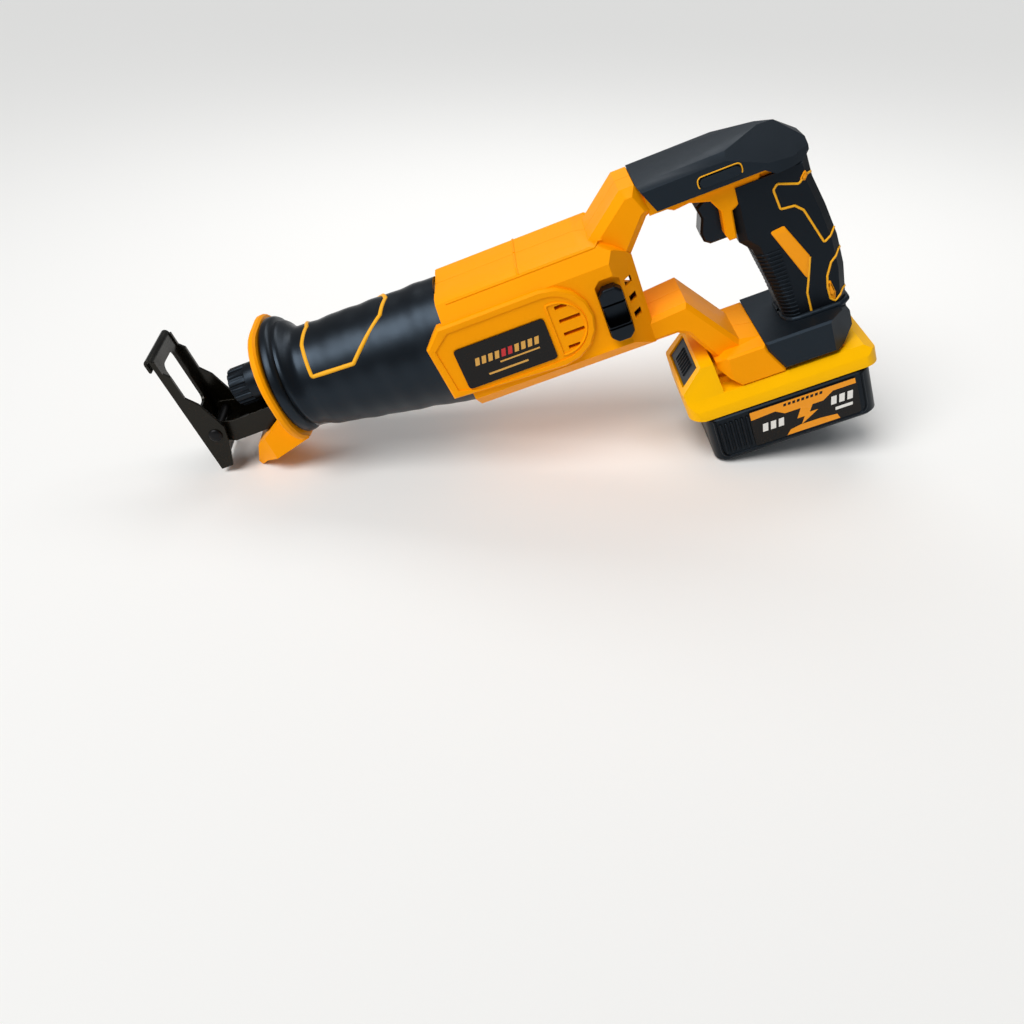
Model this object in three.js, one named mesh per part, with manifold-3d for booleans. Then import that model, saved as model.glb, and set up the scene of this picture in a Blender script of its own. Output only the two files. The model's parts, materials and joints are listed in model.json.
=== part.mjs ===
// Cordless reciprocating saw with a D-shaped handle and a slide-on battery.
// Millimetres, +Z up. Everything is modelled with the blade line level, then the whole saw is tipped
// nose-down onto its guard lip and the battery's front edge, which is how it rests on a bench.
// +X runs from the shoe to the battery, +Y from the user's left hand side to the right.
import * as THREE from "three";
import { mergeVertices } from "three/addons/utils/BufferGeometryUtils.js";
import Module from "manifold-3d";

const wasm = await Module();
wasm.setup();

// ---------------------------------------------------------------- driving dimensions
const GAP = 0.3; // between pieces that touch or are moulded round each other
const SLIDE_GAP = 0.5; // round pieces that slide or turn
const WALL = 2.8; // moulded shells

const STROKE = 28; // of the blade
const STROKE_AXIS_Z = 174; // height of the plunger's axis over the battery's base
const PLUNGER_R = 8;
const COLLAR_R = 14.2;

const BODY_REAR_X = -81;
const BODY_LENGTH = 131;
const BODY_HALF_WIDTH = 39;
const BODY_BOTTOM_Z = 107;
const BODY_HEIGHT = 86;
const PANEL_RISE = 3.5; // how far the side panels stand proud

const BOOT_LENGTH = 116;
const BOOT_REAR = { y: 41, z: 46.5, centre: 149.6 }; // half width, half height, height of the centre
const BOOT_FRONT = { y: 37, z: 37, centre: 160.5 };
const BOOT_WALL = 3;
const BOOT_RIM_DEPTH = 9;

const GUARD_THICKNESS = 6;
const GUARD_HALF_WIDTH = 47.5;
const GUARD_TOP_Z = 212;
const GUARD_BOTTOM_Z = 126;
const LIP_REACH = 44;
const LIP_HALF_WIDTH = 27;
const LIP_DROP = 10;

const SHOE_HALF_WIDTH = 24;
const SHOE_HEIGHT = 93;
const SHOE_PLATE = 2.4;
const SHOE_REACH = 67; // from the guard's face to the shoe's
const BRACKET_HALF_WIDTH = 17;
const BRACKET_HEIGHT = 16;
const BRACKET_PLATE = 2;

const ARM_HALF_WIDTH = 24;
const COVER_HALF_WIDTH = 27;
const COVER_BOTTOM_Z = 195;
const COVER_HEIGHT = 20;
const GRIP_HALF_WIDTH = 19;

const BATTERY_LENGTH = 119;
const BATTERY_WIDTH = 78;
const BATTERY_CASE_Z = 40; // height of the black lower case
const BATTERY_FRONT_X = -67;
const CASE_BEVEL = 2.5;
const CELL_R = 9.1;
const CELL_LENGTH = 65;
const FOOT_HEIGHT = 26;
const FOOT_FRONT_X = -48;
const FOOT_REAR_X = 46;

const MOTOR_AXIS_Z = 144;
const MOTOR_R = 24;
const MOTOR_LENGTH = 70;
const GEAR_TEETH = 28;
const PINION_TEETH = 9;
const GEAR_R = 30;
const TOOTH_DEPTH = 2.1;

// ---------------------------------------------------------------- places worked out from them
const bodyFront = BODY_REAR_X - BODY_LENGTH;
const bodyTop = BODY_BOTTOM_Z + BODY_HEIGHT;
const bodyMiddle = (BODY_BOTTOM_Z + bodyTop) / 2;
const panelY = BODY_HALF_WIDTH + PANEL_RISE;
const bootFront = bodyFront - BOOT_LENGTH;
const rimFront = bootFront - BOOT_RIM_DEPTH;
const guardFront = rimFront - GUARD_THICKNESS;
const batteryHalf = BATTERY_WIDTH / 2;
const batteryRear = BATTERY_FRONT_X + BATTERY_LENGTH;
const shoulderZ = BATTERY_CASE_Z + 16; // top of the battery's yellow shoulder
const footTop = shoulderZ + FOOT_HEIGHT;
const footHalf = batteryHalf - 3;
const coverTop = COVER_BOTTOM_Z + COVER_HEIGHT;
const railHalf = 22;
const railTop = shoulderZ + 13;

// ---------------------------------------------------------------- materials
function finish(colour, roughness, metalness = 0) {
  return new THREE.MeshStandardMaterial({ color: colour, roughness, metalness });
}
const yellowPlastic = finish("#f9a50a", 0.45);
const batteryYellow = finish("#f8c604", 0.4);
const blackRubber = finish("#1d2124", 0.75);
const blackPlastic = finish("#17191b", 0.5);
const blackSteel = finish("#15140f", 0.35, 0.7);
const brightSteel = finish("#b9bcc0", 0.3, 1);
const castAluminium = finish("#9a9da1", 0.5, 1);
const copper = finish("#b5713a", 0.4, 1);
const bronze = finish("#a57c3f", 0.5, 1);
const darkLabel = finish("#191714", 0.3);
const cellWrap = finish("#2f8f7a", 0.4);
const greenBoard = finish("#1c5a35", 0.6);

// ---------------------------------------------------------------- shape helpers
// The closed solid of a geometry, whichever way its faces were wound.
function solidOf(geometry) {
  const bare = new THREE.BufferGeometry().setAttribute("position", geometry.getAttribute("position"));
  if (geometry.index) bare.setIndex(geometry.index);
  const merged = mergeVertices(bare, 1e-4);
  const corners = merged.index.array;
  const kept = [];
  for (let i = 0; i < corners.length; i += 3) {
    const [a, b, c] = [corners[i], corners[i + 1], corners[i + 2]];
    if (a !== b && b !== c && c !== a) kept.push(a, b, c);
  }
  const vertProperties = new Float32Array(merged.attributes.position.array);
  const build = (list) =>
    new wasm.Manifold(new wasm.Mesh({ numProp: 3, vertProperties, triVerts: new Uint32Array(list) }));
  const made = build(kept);
  return made.volume() > 0 ? made : build(kept.reverse());
}

function geometryOf(solid) {
  const mesh = solid.getMesh();
  const places = new Float32Array(mesh.numVert * 3);
  for (let i = 0; i < mesh.numVert; i++) {
    places.set(mesh.vertProperties.subarray(i * mesh.numProp, i * mesh.numProp + 3), i * 3);
  }
  const geometry = new THREE.BufferGeometry();
  geometry.setAttribute("position", new THREE.BufferAttribute(places, 3));
  geometry.setIndex(new THREE.BufferAttribute(mesh.triVerts, 1));
  return geometry;
}

const AXES = { x: new THREE.Vector3(1, 0, 0), y: new THREE.Vector3(0, 1, 0), z: new THREE.Vector3(0, 0, 1) };
// Where a flat outline's own right, up and depth directions point, for a prism along each axis.
const PRISM_BASIS = {
  x: new THREE.Matrix4().makeBasis(AXES.y, AXES.z, AXES.x),
  y: new THREE.Matrix4().makeBasis(AXES.x, AXES.z, AXES.y.clone().negate()),
  z: new THREE.Matrix4(),
};
const LATHE_BASIS = {
  x: new THREE.Matrix4().makeBasis(AXES.z, AXES.x, AXES.y),
  y: new THREE.Matrix4(),
  z: new THREE.Matrix4().makeBasis(AXES.x, AXES.z, AXES.y.clone().negate()),
};

// A prism along an axis from low to high. The outline is a THREE.Shape or a list of [right, up] points:
// [y, z] for a prism along x, [x, z] along y and [x, y] along z.
function prism(axis, outline, low, high, bevel = 0) {
  const shape = Array.isArray(outline) ? new THREE.Shape(outline.map((p) => new THREE.Vector2(...p))) : outline;
  const geometry = new THREE.ExtrudeGeometry(shape, {
    depth: high - low - 2 * bevel,
    bevelEnabled: bevel > 0,
    bevelThickness: bevel,
    bevelSize: bevel,
    bevelOffset: -bevel,
    bevelSegments: 1,
    curveSegments: 4,
  });
  geometry.translate(0, 0, axis === "y" ? -high + bevel : low + bevel);
  return solidOf(geometry.applyMatrix4(PRISM_BASIS[axis]));
}

// A turned piece. The profile lists [radius, place along the axis] and starts and ends on the axis.
function turned(axis, profile, centre = [0, 0, 0], segments = 16) {
  const points = profile.map((p) => new THREE.Vector2(...p));
  const geometry = new THREE.LatheGeometry(points, segments).applyMatrix4(LATHE_BASIS[axis]);
  return solidOf(geometry.translate(...centre));
}

function rod(axis, radius, low, high, centre = [0, 0, 0], segments = 16) {
  return turned(axis, [[0, low], [radius, low], [radius, high], [0, high]], centre, segments);
}

function ring(axis, outer, inner, low, high, centre = [0, 0, 0], segments = 16) {
  return rod(axis, outer, low, high, centre, segments).subtract(
    rod(axis, inner, low - 1, high + 1, centre, segments),
  );
}

function block(low, high) {
  const size = high.map((v, i) => v - low[i]);
  const centre = high.map((v, i) => (v + low[i]) / 2);
  return solidOf(new THREE.BoxGeometry(...size).translate(...centre));
}

// A rectangle with rounded corners, as a THREE.Shape centred on [cx, cy].
function roundedRectangle(halfWidth, halfHeight, radius, [cx, cy] = [0, 0]) {
  const shape = new THREE.Shape();
  const [l, r, b, t] = [cx - halfWidth, cx + halfWidth, cy - halfHeight, cy + halfHeight];
  shape.absarc(r - radius, t - radius, radius, 0, Math.PI / 2);
  shape.absarc(l + radius, t - radius, radius, Math.PI / 2, Math.PI);
  shape.absarc(l + radius, b + radius, radius, Math.PI, 1.5 * Math.PI);
  shape.absarc(r - radius, b + radius, radius, 1.5 * Math.PI, 2 * Math.PI);
  return shape;
}

// A skin through upright ovals strung along x: each is { x, y, z, centre }, half width, half height, centre height.
function loft(ovals, segments = 28) {
  const places = [];
  const faces = [];
  for (const oval of ovals) {
    for (let i = 0; i < segments; i++) {
      const a = (2 * Math.PI * i) / segments;
      places.push(oval.x, oval.y * Math.cos(a), oval.centre + oval.z * Math.sin(a));
    }
  }
  for (let k = 0; k + 1 < ovals.length; k++) {
    for (let i = 0; i < segments; i++) {
      const [a, b] = [k * segments + i, k * segments + ((i + 1) % segments)];
      faces.push(a, b, b + segments, a, b + segments, a + segments);
    }
  }
  for (const [k, flip] of [[0, true], [ovals.length - 1, false]]) {
    const middle = places.length / 3;
    places.push(ovals[k].x, 0, ovals[k].centre);
    for (let i = 0; i < segments; i++) {
      const [a, b] = [k * segments + i, k * segments + ((i + 1) % segments)];
      faces.push(middle, ...(flip ? [b, a] : [a, b]));
    }
  }
  const geometry = new THREE.BufferGeometry();
  geometry.setAttribute("position", new THREE.BufferAttribute(new Float32Array(places), 3));
  geometry.setIndex(faces);
  return solidOf(geometry);
}

const join = (solids) => solids.reduce((a, b) => a.add(b));
const mirrored = (outline) => [...outline, ...outline.map(([a, b]) => [-a, b]).reverse()];

const saw = new THREE.Group();
function piece(name, solid, material) {
  const mesh = new THREE.Mesh(geometryOf(solid), material);
  mesh.name = name;
  saw.add(mesh);
  return solid;
}

// ---------------------------------------------------------------- battery
const caseOutline = roundedRectangle(BATTERY_LENGTH / 2, batteryHalf, 10, [BATTERY_FRONT_X + BATTERY_LENGTH / 2, 0]);
const caseInside = roundedRectangle(
  BATTERY_LENGTH / 2 - WALL,
  batteryHalf - WALL,
  10 - WALL,
  [BATTERY_FRONT_X + BATTERY_LENGTH / 2, 0],
);

function batteryLowerCase() {
  const outside = prism("z", caseOutline, 0, BATTERY_CASE_Z - GAP, CASE_BEVEL);
  return outside.subtract(prism("z", caseInside, WALL, BATTERY_CASE_Z + 1));
}

// Side profile of the yellow upper case: a shoulder under the foot and a hump with the latch in front of it.
const humpFront = BATTERY_FRONT_X - 10;
const humpTop = shoulderZ + 23;
const humpRear = FOOT_FRONT_X - 2 * GAP;
const upperProfile = [
  [BATTERY_FRONT_X, BATTERY_CASE_Z], [humpFront, BATTERY_CASE_Z + 3], [humpFront, shoulderZ + 7],
  [humpRear - 11, humpTop], [humpRear - 2, humpTop], [humpRear, shoulderZ],
  [batteryRear - 2, shoulderZ], [batteryRear + 6, shoulderZ - 6], [batteryRear + 6, BATTERY_CASE_Z],
];
const latchSlope = new THREE.Vector2(humpRear - 11 - humpFront, humpTop - shoulderZ - 7).normalize();
const latchCentre = [(humpFront + humpRear - 11) / 2, (humpTop + shoulderZ + 7) / 2];
const LATCH_HALF_WIDTH = 25;
const LATCH_LENGTH = 17;
const LATCH_TRAVEL = 3;

// A block lying on the hump's slope: a length along it, and from one depth to another below its face.
function onSlope(length, depthLow, depthHigh, halfWidth) {
  const along = latchSlope.clone().multiplyScalar(length / 2);
  const inward = new THREE.Vector2(latchSlope.y, -latchSlope.x);
  const at = (s, d) => [
    latchCentre[0] + s * along.x + d * inward.x,
    latchCentre[1] + s * along.y + d * inward.y,
  ];
  return prism(
    "y",
    [at(-1, depthLow), at(1, depthLow), at(1, depthHigh), at(-1, depthHigh)],
    -halfWidth,
    halfWidth,
  );
}

// The block on the battery's top that slides into the foot, with a groove down each side and two contact slots.
const railRear = FOOT_REAR_X - 16;
const RAIL_GROOVE = 4;
const railGrooveZ = [shoulderZ + 4, shoulderZ + 8];
const CONTACT_Y = 9;
function railBlock() {
  let rail = block([humpRear - 3, -railHalf, shoulderZ - 1], [railRear, railHalf, railTop]);
  for (const side of [-1, 1]) {
    const edge = side * railHalf;
    const inner = side * (railHalf - RAIL_GROOVE);
    rail = rail.subtract(
      block(
        [humpRear, Math.min(edge, inner) - (side < 0 ? 1 : 0), railGrooveZ[0]],
        [railRear + 1, Math.max(edge, inner) + (side > 0 ? 1 : 0), railGrooveZ[1]],
      ),
    );
    rail = rail.subtract(
      block([railRear - 16, side * CONTACT_Y - 1.4, shoulderZ + 2], [railRear + 1, side * CONTACT_Y + 1.4, railTop + 1]),
    );
  }
  return rail;
}

function batteryUpperCase() {
  const plan = roundedRectangle(
    (batteryRear + 6 - humpFront) / 2,
    batteryHalf,
    9,
    [(batteryRear + 6 + humpFront) / 2, 0],
  );
  const section = mirrored([
    [batteryHalf, BATTERY_CASE_Z - 1], [batteryHalf, shoulderZ - 8], [batteryHalf - 4, shoulderZ],
    [batteryHalf - 8, humpTop + 1],
  ]);
  const outside = prism("y", upperProfile, -batteryHalf - 1, batteryHalf + 1)
    .intersect(prism("z", plan, BATTERY_CASE_Z - 1, humpTop + 1))
    .intersect(prism("x", section, humpFront - 1, batteryRear + 7));
  const insideTop = shoulderZ - WALL;
  const inside = prism("z", caseInside, BATTERY_CASE_Z - 1, insideTop).intersect(
    prism("x", mirrored([
      [batteryHalf - WALL, BATTERY_CASE_Z - 2], [batteryHalf - WALL, shoulderZ - 9], [batteryHalf - 7, insideTop + 1],
    ]), humpFront, batteryRear + 1),
  );
  return outside
    .add(railBlock())
    .subtract(inside)
    .subtract(onSlope(LATCH_LENGTH + 2 * SLIDE_GAP, -8, 6 + LATCH_TRAVEL + SLIDE_GAP, LATCH_HALF_WIDTH + SLIDE_GAP));
}

function cellPack() {
  const pitch = 2 * CELL_R + 1;
  const across = 5;
  const firstX = BATTERY_FRONT_X + BATTERY_LENGTH / 2 - (pitch * (across - 1)) / 2;
  const lowZ = WALL + GAP + CELL_R;
  const solids = [];
  for (let i = 0; i < across; i++) {
    for (const z of [lowZ, lowZ + 2 * CELL_R - 0.4]) {
      solids.push(rod("y", CELL_R, -CELL_LENGTH / 2, CELL_LENGTH / 2, [firstX + i * pitch, 0, z], 10));
    }
  }
  for (const side of [-1, 1]) {
    const y = side * (CELL_LENGTH / 2 - 8);
    solids.push(block([firstX, y - 1.5, lowZ], [firstX + pitch * (across - 1), y + 1.5, lowZ + 2 * CELL_R - 0.4]));
  }
  return join(solids);
}

piece("battery_lower_case", batteryLowerCase(), blackPlastic);
piece("battery_upper_case", batteryUpperCase(), batteryYellow);
piece("battery_cells", cellPack(), cellWrap);
const cellsTop = WALL + GAP + 4 * CELL_R - 0.4;
piece(
  "battery_board",
  block(
    [BATTERY_FRONT_X + 18, -26, cellsTop + 2],
    [batteryRear - 18, 26, cellsTop + 3.6],
  ),
  greenBoard,
);
piece("battery_latch", onSlope(LATCH_LENGTH, 1, 6, LATCH_HALF_WIDTH), blackPlastic);
const BADGE_INSET = 0.6;
for (const [name, side] of [["battery_badge_left", -1], ["battery_badge_right", 1]]) {
  const outer = side * (batteryHalf + GAP + BADGE_INSET);
  const inner = side * (batteryHalf + GAP);
  piece(
    name,
    block(
      [BATTERY_FRONT_X + 30, Math.min(outer, inner), 6],
      [batteryRear - 12, Math.max(outer, inner), BATTERY_CASE_Z - 4],
    ),
    darkLabel,
  );
}

// ---------------------------------------------------------------- clamshell housing
const armTop = BODY_BOTTOM_Z + 19;
const armPeakX = BODY_REAR_X + 25;
const gripFront = [[-12, COVER_BOTTOM_Z - 2], [-12, 150], [-5, 142], [-2, 130], [3, 108], [8, footTop - 4]];
const gripRear = [[48, footTop - 4], [51, 110], [50, 132], [46, 155], [41, 176], [40, COVER_BOTTOM_Z - 2]];
const gripSkin = 3.6; // thickness of the rubber round the grip's core
const gripCore = [
  ...gripFront.map(([x, z]) => [x + gripSkin, z]),
  ...gripRear.map(([x, z]) => [x - gripSkin, z]),
];
const gripCoreHalf = GRIP_HALF_WIDTH - gripSkin;
const coverWall = 6; // of the dark handle cover at its sides
const coverCoreTop = coverTop - 5;

const bodySection = (inset) => mirrored([
  [BODY_HALF_WIDTH - 15 - inset * 0.4, BODY_BOTTOM_Z + inset], [BODY_HALF_WIDTH - inset, BODY_BOTTOM_Z + 13],
  [BODY_HALF_WIDTH - inset, bodyTop - 14], [BODY_HALF_WIDTH - 8 - inset * 0.4, bodyTop - 2 - inset],
  [BODY_HALF_WIDTH - 14, bodyTop - inset],
]);
const bodyPlan = (inset) => [
  [bodyFront + (inset ? -1 : 0), -BODY_HALF_WIDTH - 1], [BODY_REAR_X - 16, -BODY_HALF_WIDTH - 1],
  [BODY_REAR_X - 16, -BODY_HALF_WIDTH + inset * 0.7], [BODY_REAR_X - inset, -ARM_HALF_WIDTH + 2 + inset * 0.7],
  [BODY_REAR_X - inset, ARM_HALF_WIDTH - 2 - inset * 0.7], [BODY_REAR_X - 16, BODY_HALF_WIDTH - inset * 0.7],
  [BODY_REAR_X - 16, BODY_HALF_WIDTH + 1], [bodyFront + (inset ? -1 : 0), BODY_HALF_WIDTH + 1],
];
// Seen from the side, the body's top falls away to the rear in a round shoulder on each side of the arm.
const bodySide = (inset) => [
  [bodyFront - 3, BODY_BOTTOM_Z - 1], [BODY_REAR_X + 2, BODY_BOTTOM_Z - 1], [BODY_REAR_X + 2, bodyTop - 24 - inset],
  [BODY_REAR_X - 3, bodyTop - 16 - inset], [BODY_REAR_X - 10, bodyTop - 9 - inset],
  [BODY_REAR_X - 19, bodyTop - 3.5 - inset], [BODY_REAR_X - 29, bodyTop - 0.5 - inset],
  [BODY_REAR_X - 38, bodyTop + 1], [bodyFront - 3, bodyTop + 1],
];
function bodyShape(inset) {
  return prism("x", bodySection(inset), bodyFront - 2, BODY_REAR_X + 1)
    .intersect(prism("z", bodyPlan(inset), BODY_BOTTOM_Z - 1, bodyTop + 1))
    .intersect(prism("y", bodySide(inset), -BODY_HALF_WIDTH - 1, BODY_HALF_WIDTH + 1));
}

// The raised panel on each flank: a pointed front and a round rear.
const panelArc = { x: bodyFront + 67, z: bodyMiddle + 1, r: 29 };
function panelShape(inset) {
  const shape = new THREE.Shape();
  const { x, z, r } = panelArc;
  shape.moveTo(bodyFront + 8 + inset, z - r + inset);
  shape.absarc(x, z, r - inset, -Math.PI / 2, Math.PI / 2);
  shape.lineTo(bodyFront - 4 + inset, z + r - inset);
  shape.lineTo(bodyFront - 16 + inset, z + r - 12);
  shape.lineTo(bodyFront - 13 + inset, z - r + 5);
  shape.closePath();
  return shape;
}
function panel(side) {
  const low = BODY_HALF_WIDTH - 6;
  return side > 0
    ? prism("y", panelShape(0), low, panelY, 1.5)
    : prism("y", panelShape(0), -panelY, -low, 1.5);
}

const upperArmProfile = [
  [BODY_REAR_X - 26, bodyTop - 4], [BODY_REAR_X + 4, coverTop - 1], [BODY_REAR_X + 14, coverTop - 1],
  [BODY_REAR_X + 22, COVER_BOTTOM_Z], [BODY_REAR_X + 16, COVER_BOTTOM_Z - 3],
  [BODY_REAR_X, bodyTop - 21], [BODY_REAR_X - 10, bodyTop - 30],
];
const coverCoreProfile = [
  [BODY_REAR_X + 12, COVER_BOTTOM_Z - 3], [BODY_REAR_X + 12, coverCoreTop], [28, coverCoreTop],
  [36, COVER_BOTTOM_Z + 4], [36, COVER_BOTTOM_Z - 3],
];
const coverPlan = [
  [BODY_REAR_X + 12, -COVER_HALF_WIDTH], [14, -COVER_HALF_WIDTH], [30, -COVER_HALF_WIDTH + 5], [42, -14],
  [42, 14], [30, COVER_HALF_WIDTH - 5], [14, COVER_HALF_WIDTH], [BODY_REAR_X + 12, COVER_HALF_WIDTH],
];
// Each rear corner of the cover is one slanted facet, from the top's ridge down to the rear tip.
const coverFacets = [-1, 1].map((side) => {
  const facet = new THREE.Plane().setFromCoplanarPoints(
    new THREE.Vector3(-9, side * (COVER_HALF_WIDTH - 6), coverTop - 1),
    new THREE.Vector3(22, side * 3, coverTop - 1),
    new THREE.Vector3(40, side * 15.5, COVER_BOTTOM_Z + 1),
  );
  return side < 0 ? facet : facet.negate();
});
const facetted = (solid, inset) => coverFacets.reduce(
  (cut, facet) => cut.trimByPlane(facet.normal.toArray(), inset - facet.constant), solid,
);
// What the cover is moulded over: the cover's own plan and facets, drawn in by a wall.
function coverCore(inset) {
  const profile = inset > coverWall ? shrunk(coverCoreProfile, inset - coverWall) : coverCoreProfile;
  const bar = prism("y", profile, -COVER_HALF_WIDTH + inset, COVER_HALF_WIDTH - inset);
  const plan = prism("z", shrunk(coverPlan, inset), COVER_BOTTOM_Z - 10, coverTop);
  return facetted(bar.intersect(plan), inset - 2);
}
const triggerFrameProfile = [
  [BODY_REAR_X + 22, COVER_BOTTOM_Z], [BODY_REAR_X + 34, COVER_BOTTOM_Z - 7], [-37, COVER_BOTTOM_Z - 6],
  [-24, COVER_BOTTOM_Z - 10], [-19, COVER_BOTTOM_Z - 19], [-20, 160], [-18, 155], [-13, 155], [-12, 174],
  [-6, 177], [9, 188], [10, COVER_BOTTOM_Z],
];
const lowerArmProfile = [
  [bodyFront + 54, BODY_BOTTOM_Z - 1], [BODY_REAR_X + 14, BODY_BOTTOM_Z - 1], [BODY_REAR_X + 20, BODY_BOTTOM_Z - 4],
  [FOOT_FRONT_X + 2, footTop - 6], [-14, footTop - 6], [-14, footTop], [FOOT_FRONT_X + 20, footTop + 3],
  [armPeakX, armTop], [BODY_REAR_X - 10, armTop - 3], [bodyFront + 54, BODY_BOTTOM_Z + 8],
];
const footJointX = FOOT_FRONT_X + 34; // where the dark cover starts
const footFrontProfile = [
  [FOOT_FRONT_X + 13, shoulderZ + GAP], [footJointX + 10, shoulderZ + GAP], [footJointX + 10, shoulderZ + 3],
  [footJointX + 1, footTop - 5], [footJointX, footTop], [FOOT_FRONT_X + 8, footTop], [FOOT_FRONT_X, footTop - 5],
  [FOOT_FRONT_X, shoulderZ + 16],
];
const footFrontPlan = [
  [FOOT_FRONT_X, -footHalf + 8], [FOOT_FRONT_X + 8, -footHalf], [footJointX + 11, -footHalf],
  [footJointX + 11, footHalf], [FOOT_FRONT_X + 8, footHalf], [FOOT_FRONT_X, footHalf - 8],
];
const footCoverHalf = footHalf + 1;
const footCoverProfile = [
  [footJointX, footTop + 1.5], [FOOT_REAR_X - 4, footTop + 1.5], [FOOT_REAR_X + 2, footTop - 4],
  [FOOT_REAR_X + 2, shoulderZ + 11], [FOOT_REAR_X - 8, shoulderZ + 3], [footJointX + 10, shoulderZ + 3],
  [footJointX + 1, footTop - 5],
];
const footCoverPlan = [
  [footJointX - 1, -footCoverHalf], [FOOT_REAR_X - 15, -footCoverHalf], [FOOT_REAR_X + 2, -footCoverHalf + 15],
  [FOOT_REAR_X + 2, footCoverHalf - 15], [FOOT_REAR_X - 15, footCoverHalf], [footJointX - 1, footCoverHalf],
];
const footSkinDepth = 3; // thickness of the dark cover
const guideHalf = railHalf + 6; // half width over the walls that guide the battery's rail

function frameOutside() {
  const footFront = prism("y", footFrontProfile, -footHalf, footHalf, 1.5).intersect(
    prism("z", footFrontPlan, shoulderZ - 1, footTop + 1),
  );
  const footCore = prism("y", shrunk(footCoverProfile, footSkinDepth), -footCoverHalf, footCoverHalf).intersect(
    prism("z", shrunk(footCoverPlan, footSkinDepth), shoulderZ, footTop),
  );
  const guide = block(
    [footJointX, -guideHalf, shoulderZ + GAP],
    [FOOT_REAR_X - footSkinDepth - 4, guideHalf, railTop + footSkinDepth],
  );
  return join([
    bodyShape(0), panel(-1), panel(1),
    prism("y", upperArmProfile, -ARM_HALF_WIDTH, ARM_HALF_WIDTH, 5),
    coverCore(coverWall),
    prism("y", triggerFrameProfile, -GRIP_HALF_WIDTH + 1, GRIP_HALF_WIDTH - 1, 1),
    prism("y", lowerArmProfile, -ARM_HALF_WIDTH, ARM_HALF_WIDTH, 3),
    prism("y", gripCore, -gripCoreHalf, gripCoreHalf, 3),
    footFront, footCore, guide,
  ]);
}

// The same outlines drawn in by a wall, for the hollow inside.
function shrunk(profile, by) {
  const n = profile.length;
  const area = profile.reduce((s, [x, z], i) => {
    const [u, v] = profile[(i + 1) % n];
    return s + x * v - u * z;
  }, 0);
  const turn = Math.sign(area);
  return profile.map((p, i) => {
    const before = new THREE.Vector2(...p).sub(new THREE.Vector2(...profile[(i + n - 1) % n])).normalize();
    const after = new THREE.Vector2(...profile[(i + 1) % n]).sub(new THREE.Vector2(...p)).normalize();
    const inA = new THREE.Vector2(-before.y, before.x).multiplyScalar(turn);
    const inB = new THREE.Vector2(-after.y, after.x).multiplyScalar(turn);
    const middle = inA.clone().add(inB).normalize();
    const reach = by / Math.max(0.5, middle.dot(inA));
    return [p[0] + middle.x * reach, p[1] + middle.y * reach];
  });
}
function frameInside() {
  const arm = ARM_HALF_WIDTH - WALL;
  return join([
    bodyShape(WALL),
    prism("y", shrunk(upperArmProfile, WALL), -arm, arm, 3),
    coverCore(coverWall + WALL),
    prism("y", shrunk(lowerArmProfile, WALL), -arm, arm),
    prism("y", shrunk(gripCore, WALL), -gripCoreHalf + WALL, gripCoreHalf - WALL),
    block(
      [FOOT_FRONT_X + 8, -footHalf + 2 * footSkinDepth + WALL, railTop + SLIDE_GAP + WALL],
      [FOOT_REAR_X - 5 * footSkinDepth, footHalf - 2 * footSkinDepth - WALL, footTop - WALL - footSkinDepth],
    ),
  ]);
}

// The battery's bay under the foot, with a tongue down each side that runs in the battery's groove.
function batteryBay() {
  const half = railHalf + SLIDE_GAP;
  let bay = block([FOOT_FRONT_X - 1, -half, shoulderZ - 2], [railRear + 10, half, railTop + SLIDE_GAP]);
  const tongue = [railGrooveZ[0] + SLIDE_GAP, railGrooveZ[1] - SLIDE_GAP];
  for (const side of [-1, 1]) {
    const [inner, outer] = [side * (railHalf - RAIL_GROOVE + SLIDE_GAP), side * (half + 1)];
    bay = bay.subtract(
      block([FOOT_FRONT_X - 2, Math.min(inner, outer), tongue[0]], [railRear + 11, Math.max(inner, outer), tongue[1]]),
    );
  }
  return bay;
}

// Screws come in from the right half and thread into the left one.
const screwPlaces = [
  [bodyFront + 47, bodyTop - 8], [BODY_REAR_X - 34, BODY_BOTTOM_Z + 7.5], [BODY_REAR_X + 9, COVER_BOTTOM_Z + 8],
  [24, footTop + 28],
];
const BOSS_R = 4.2;
const SCREW_R = 1.6;
const SCREW_HEAD_R = 3;
const SCREW_HEAD_Y = 7;
const SCREW_HEAD_DEPTH = 3;
const SCREW_TIP_Y = -9;
const bosses = () => join(screwPlaces.map(([x, z]) => rod("y", BOSS_R, -BODY_HALF_WIDTH - 5, BODY_HALF_WIDTH + 5, [x, 0, z], 12)));
const screwAt = ([x, z], grow, headTop) => turned("y", [
  [0, SCREW_TIP_Y - grow], [SCREW_R + grow, SCREW_TIP_Y - grow], [SCREW_R + grow, SCREW_HEAD_Y - grow],
  [SCREW_HEAD_R + grow, SCREW_HEAD_Y - grow], [SCREW_HEAD_R + grow, headTop], [0, headTop],
], [x, 0, z], 12);
const screwHoles = () => join(screwPlaces.map((place) => screwAt(place, GAP, panelY + 2)));

// Louvred vent at the rear of each side panel, and three small ones on each rear bevel.
const ventCentre = [panelArc.x + 4, bodyMiddle - 0.5];
const VENT_R = 20;
const VENT_SLOTS = 4;
function ventCuts() {
  const cuts = [];
  for (let i = 0; i < VENT_SLOTS; i++) {
    const z = ventCentre[1] - 15 + i * 10;
    const reach = Math.sqrt(VENT_R * VENT_R - (z - ventCentre[1]) ** 2) - 3;
    cuts.push(block([ventCentre[0] + 2, -panelY - 1, z - 1.4], [ventCentre[0] + reach, panelY + 1, z + 1.4]));
  }
  for (let i = 0; i < 3; i++) {
    const z = bodyMiddle - 17 + i * 12;
    cuts.push(block([BODY_REAR_X - 10, -BODY_HALF_WIDTH - 1, z], [BODY_REAR_X - 5, BODY_HALF_WIDTH + 1, z + 5]));
  }
  return join(cuts);
}

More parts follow.
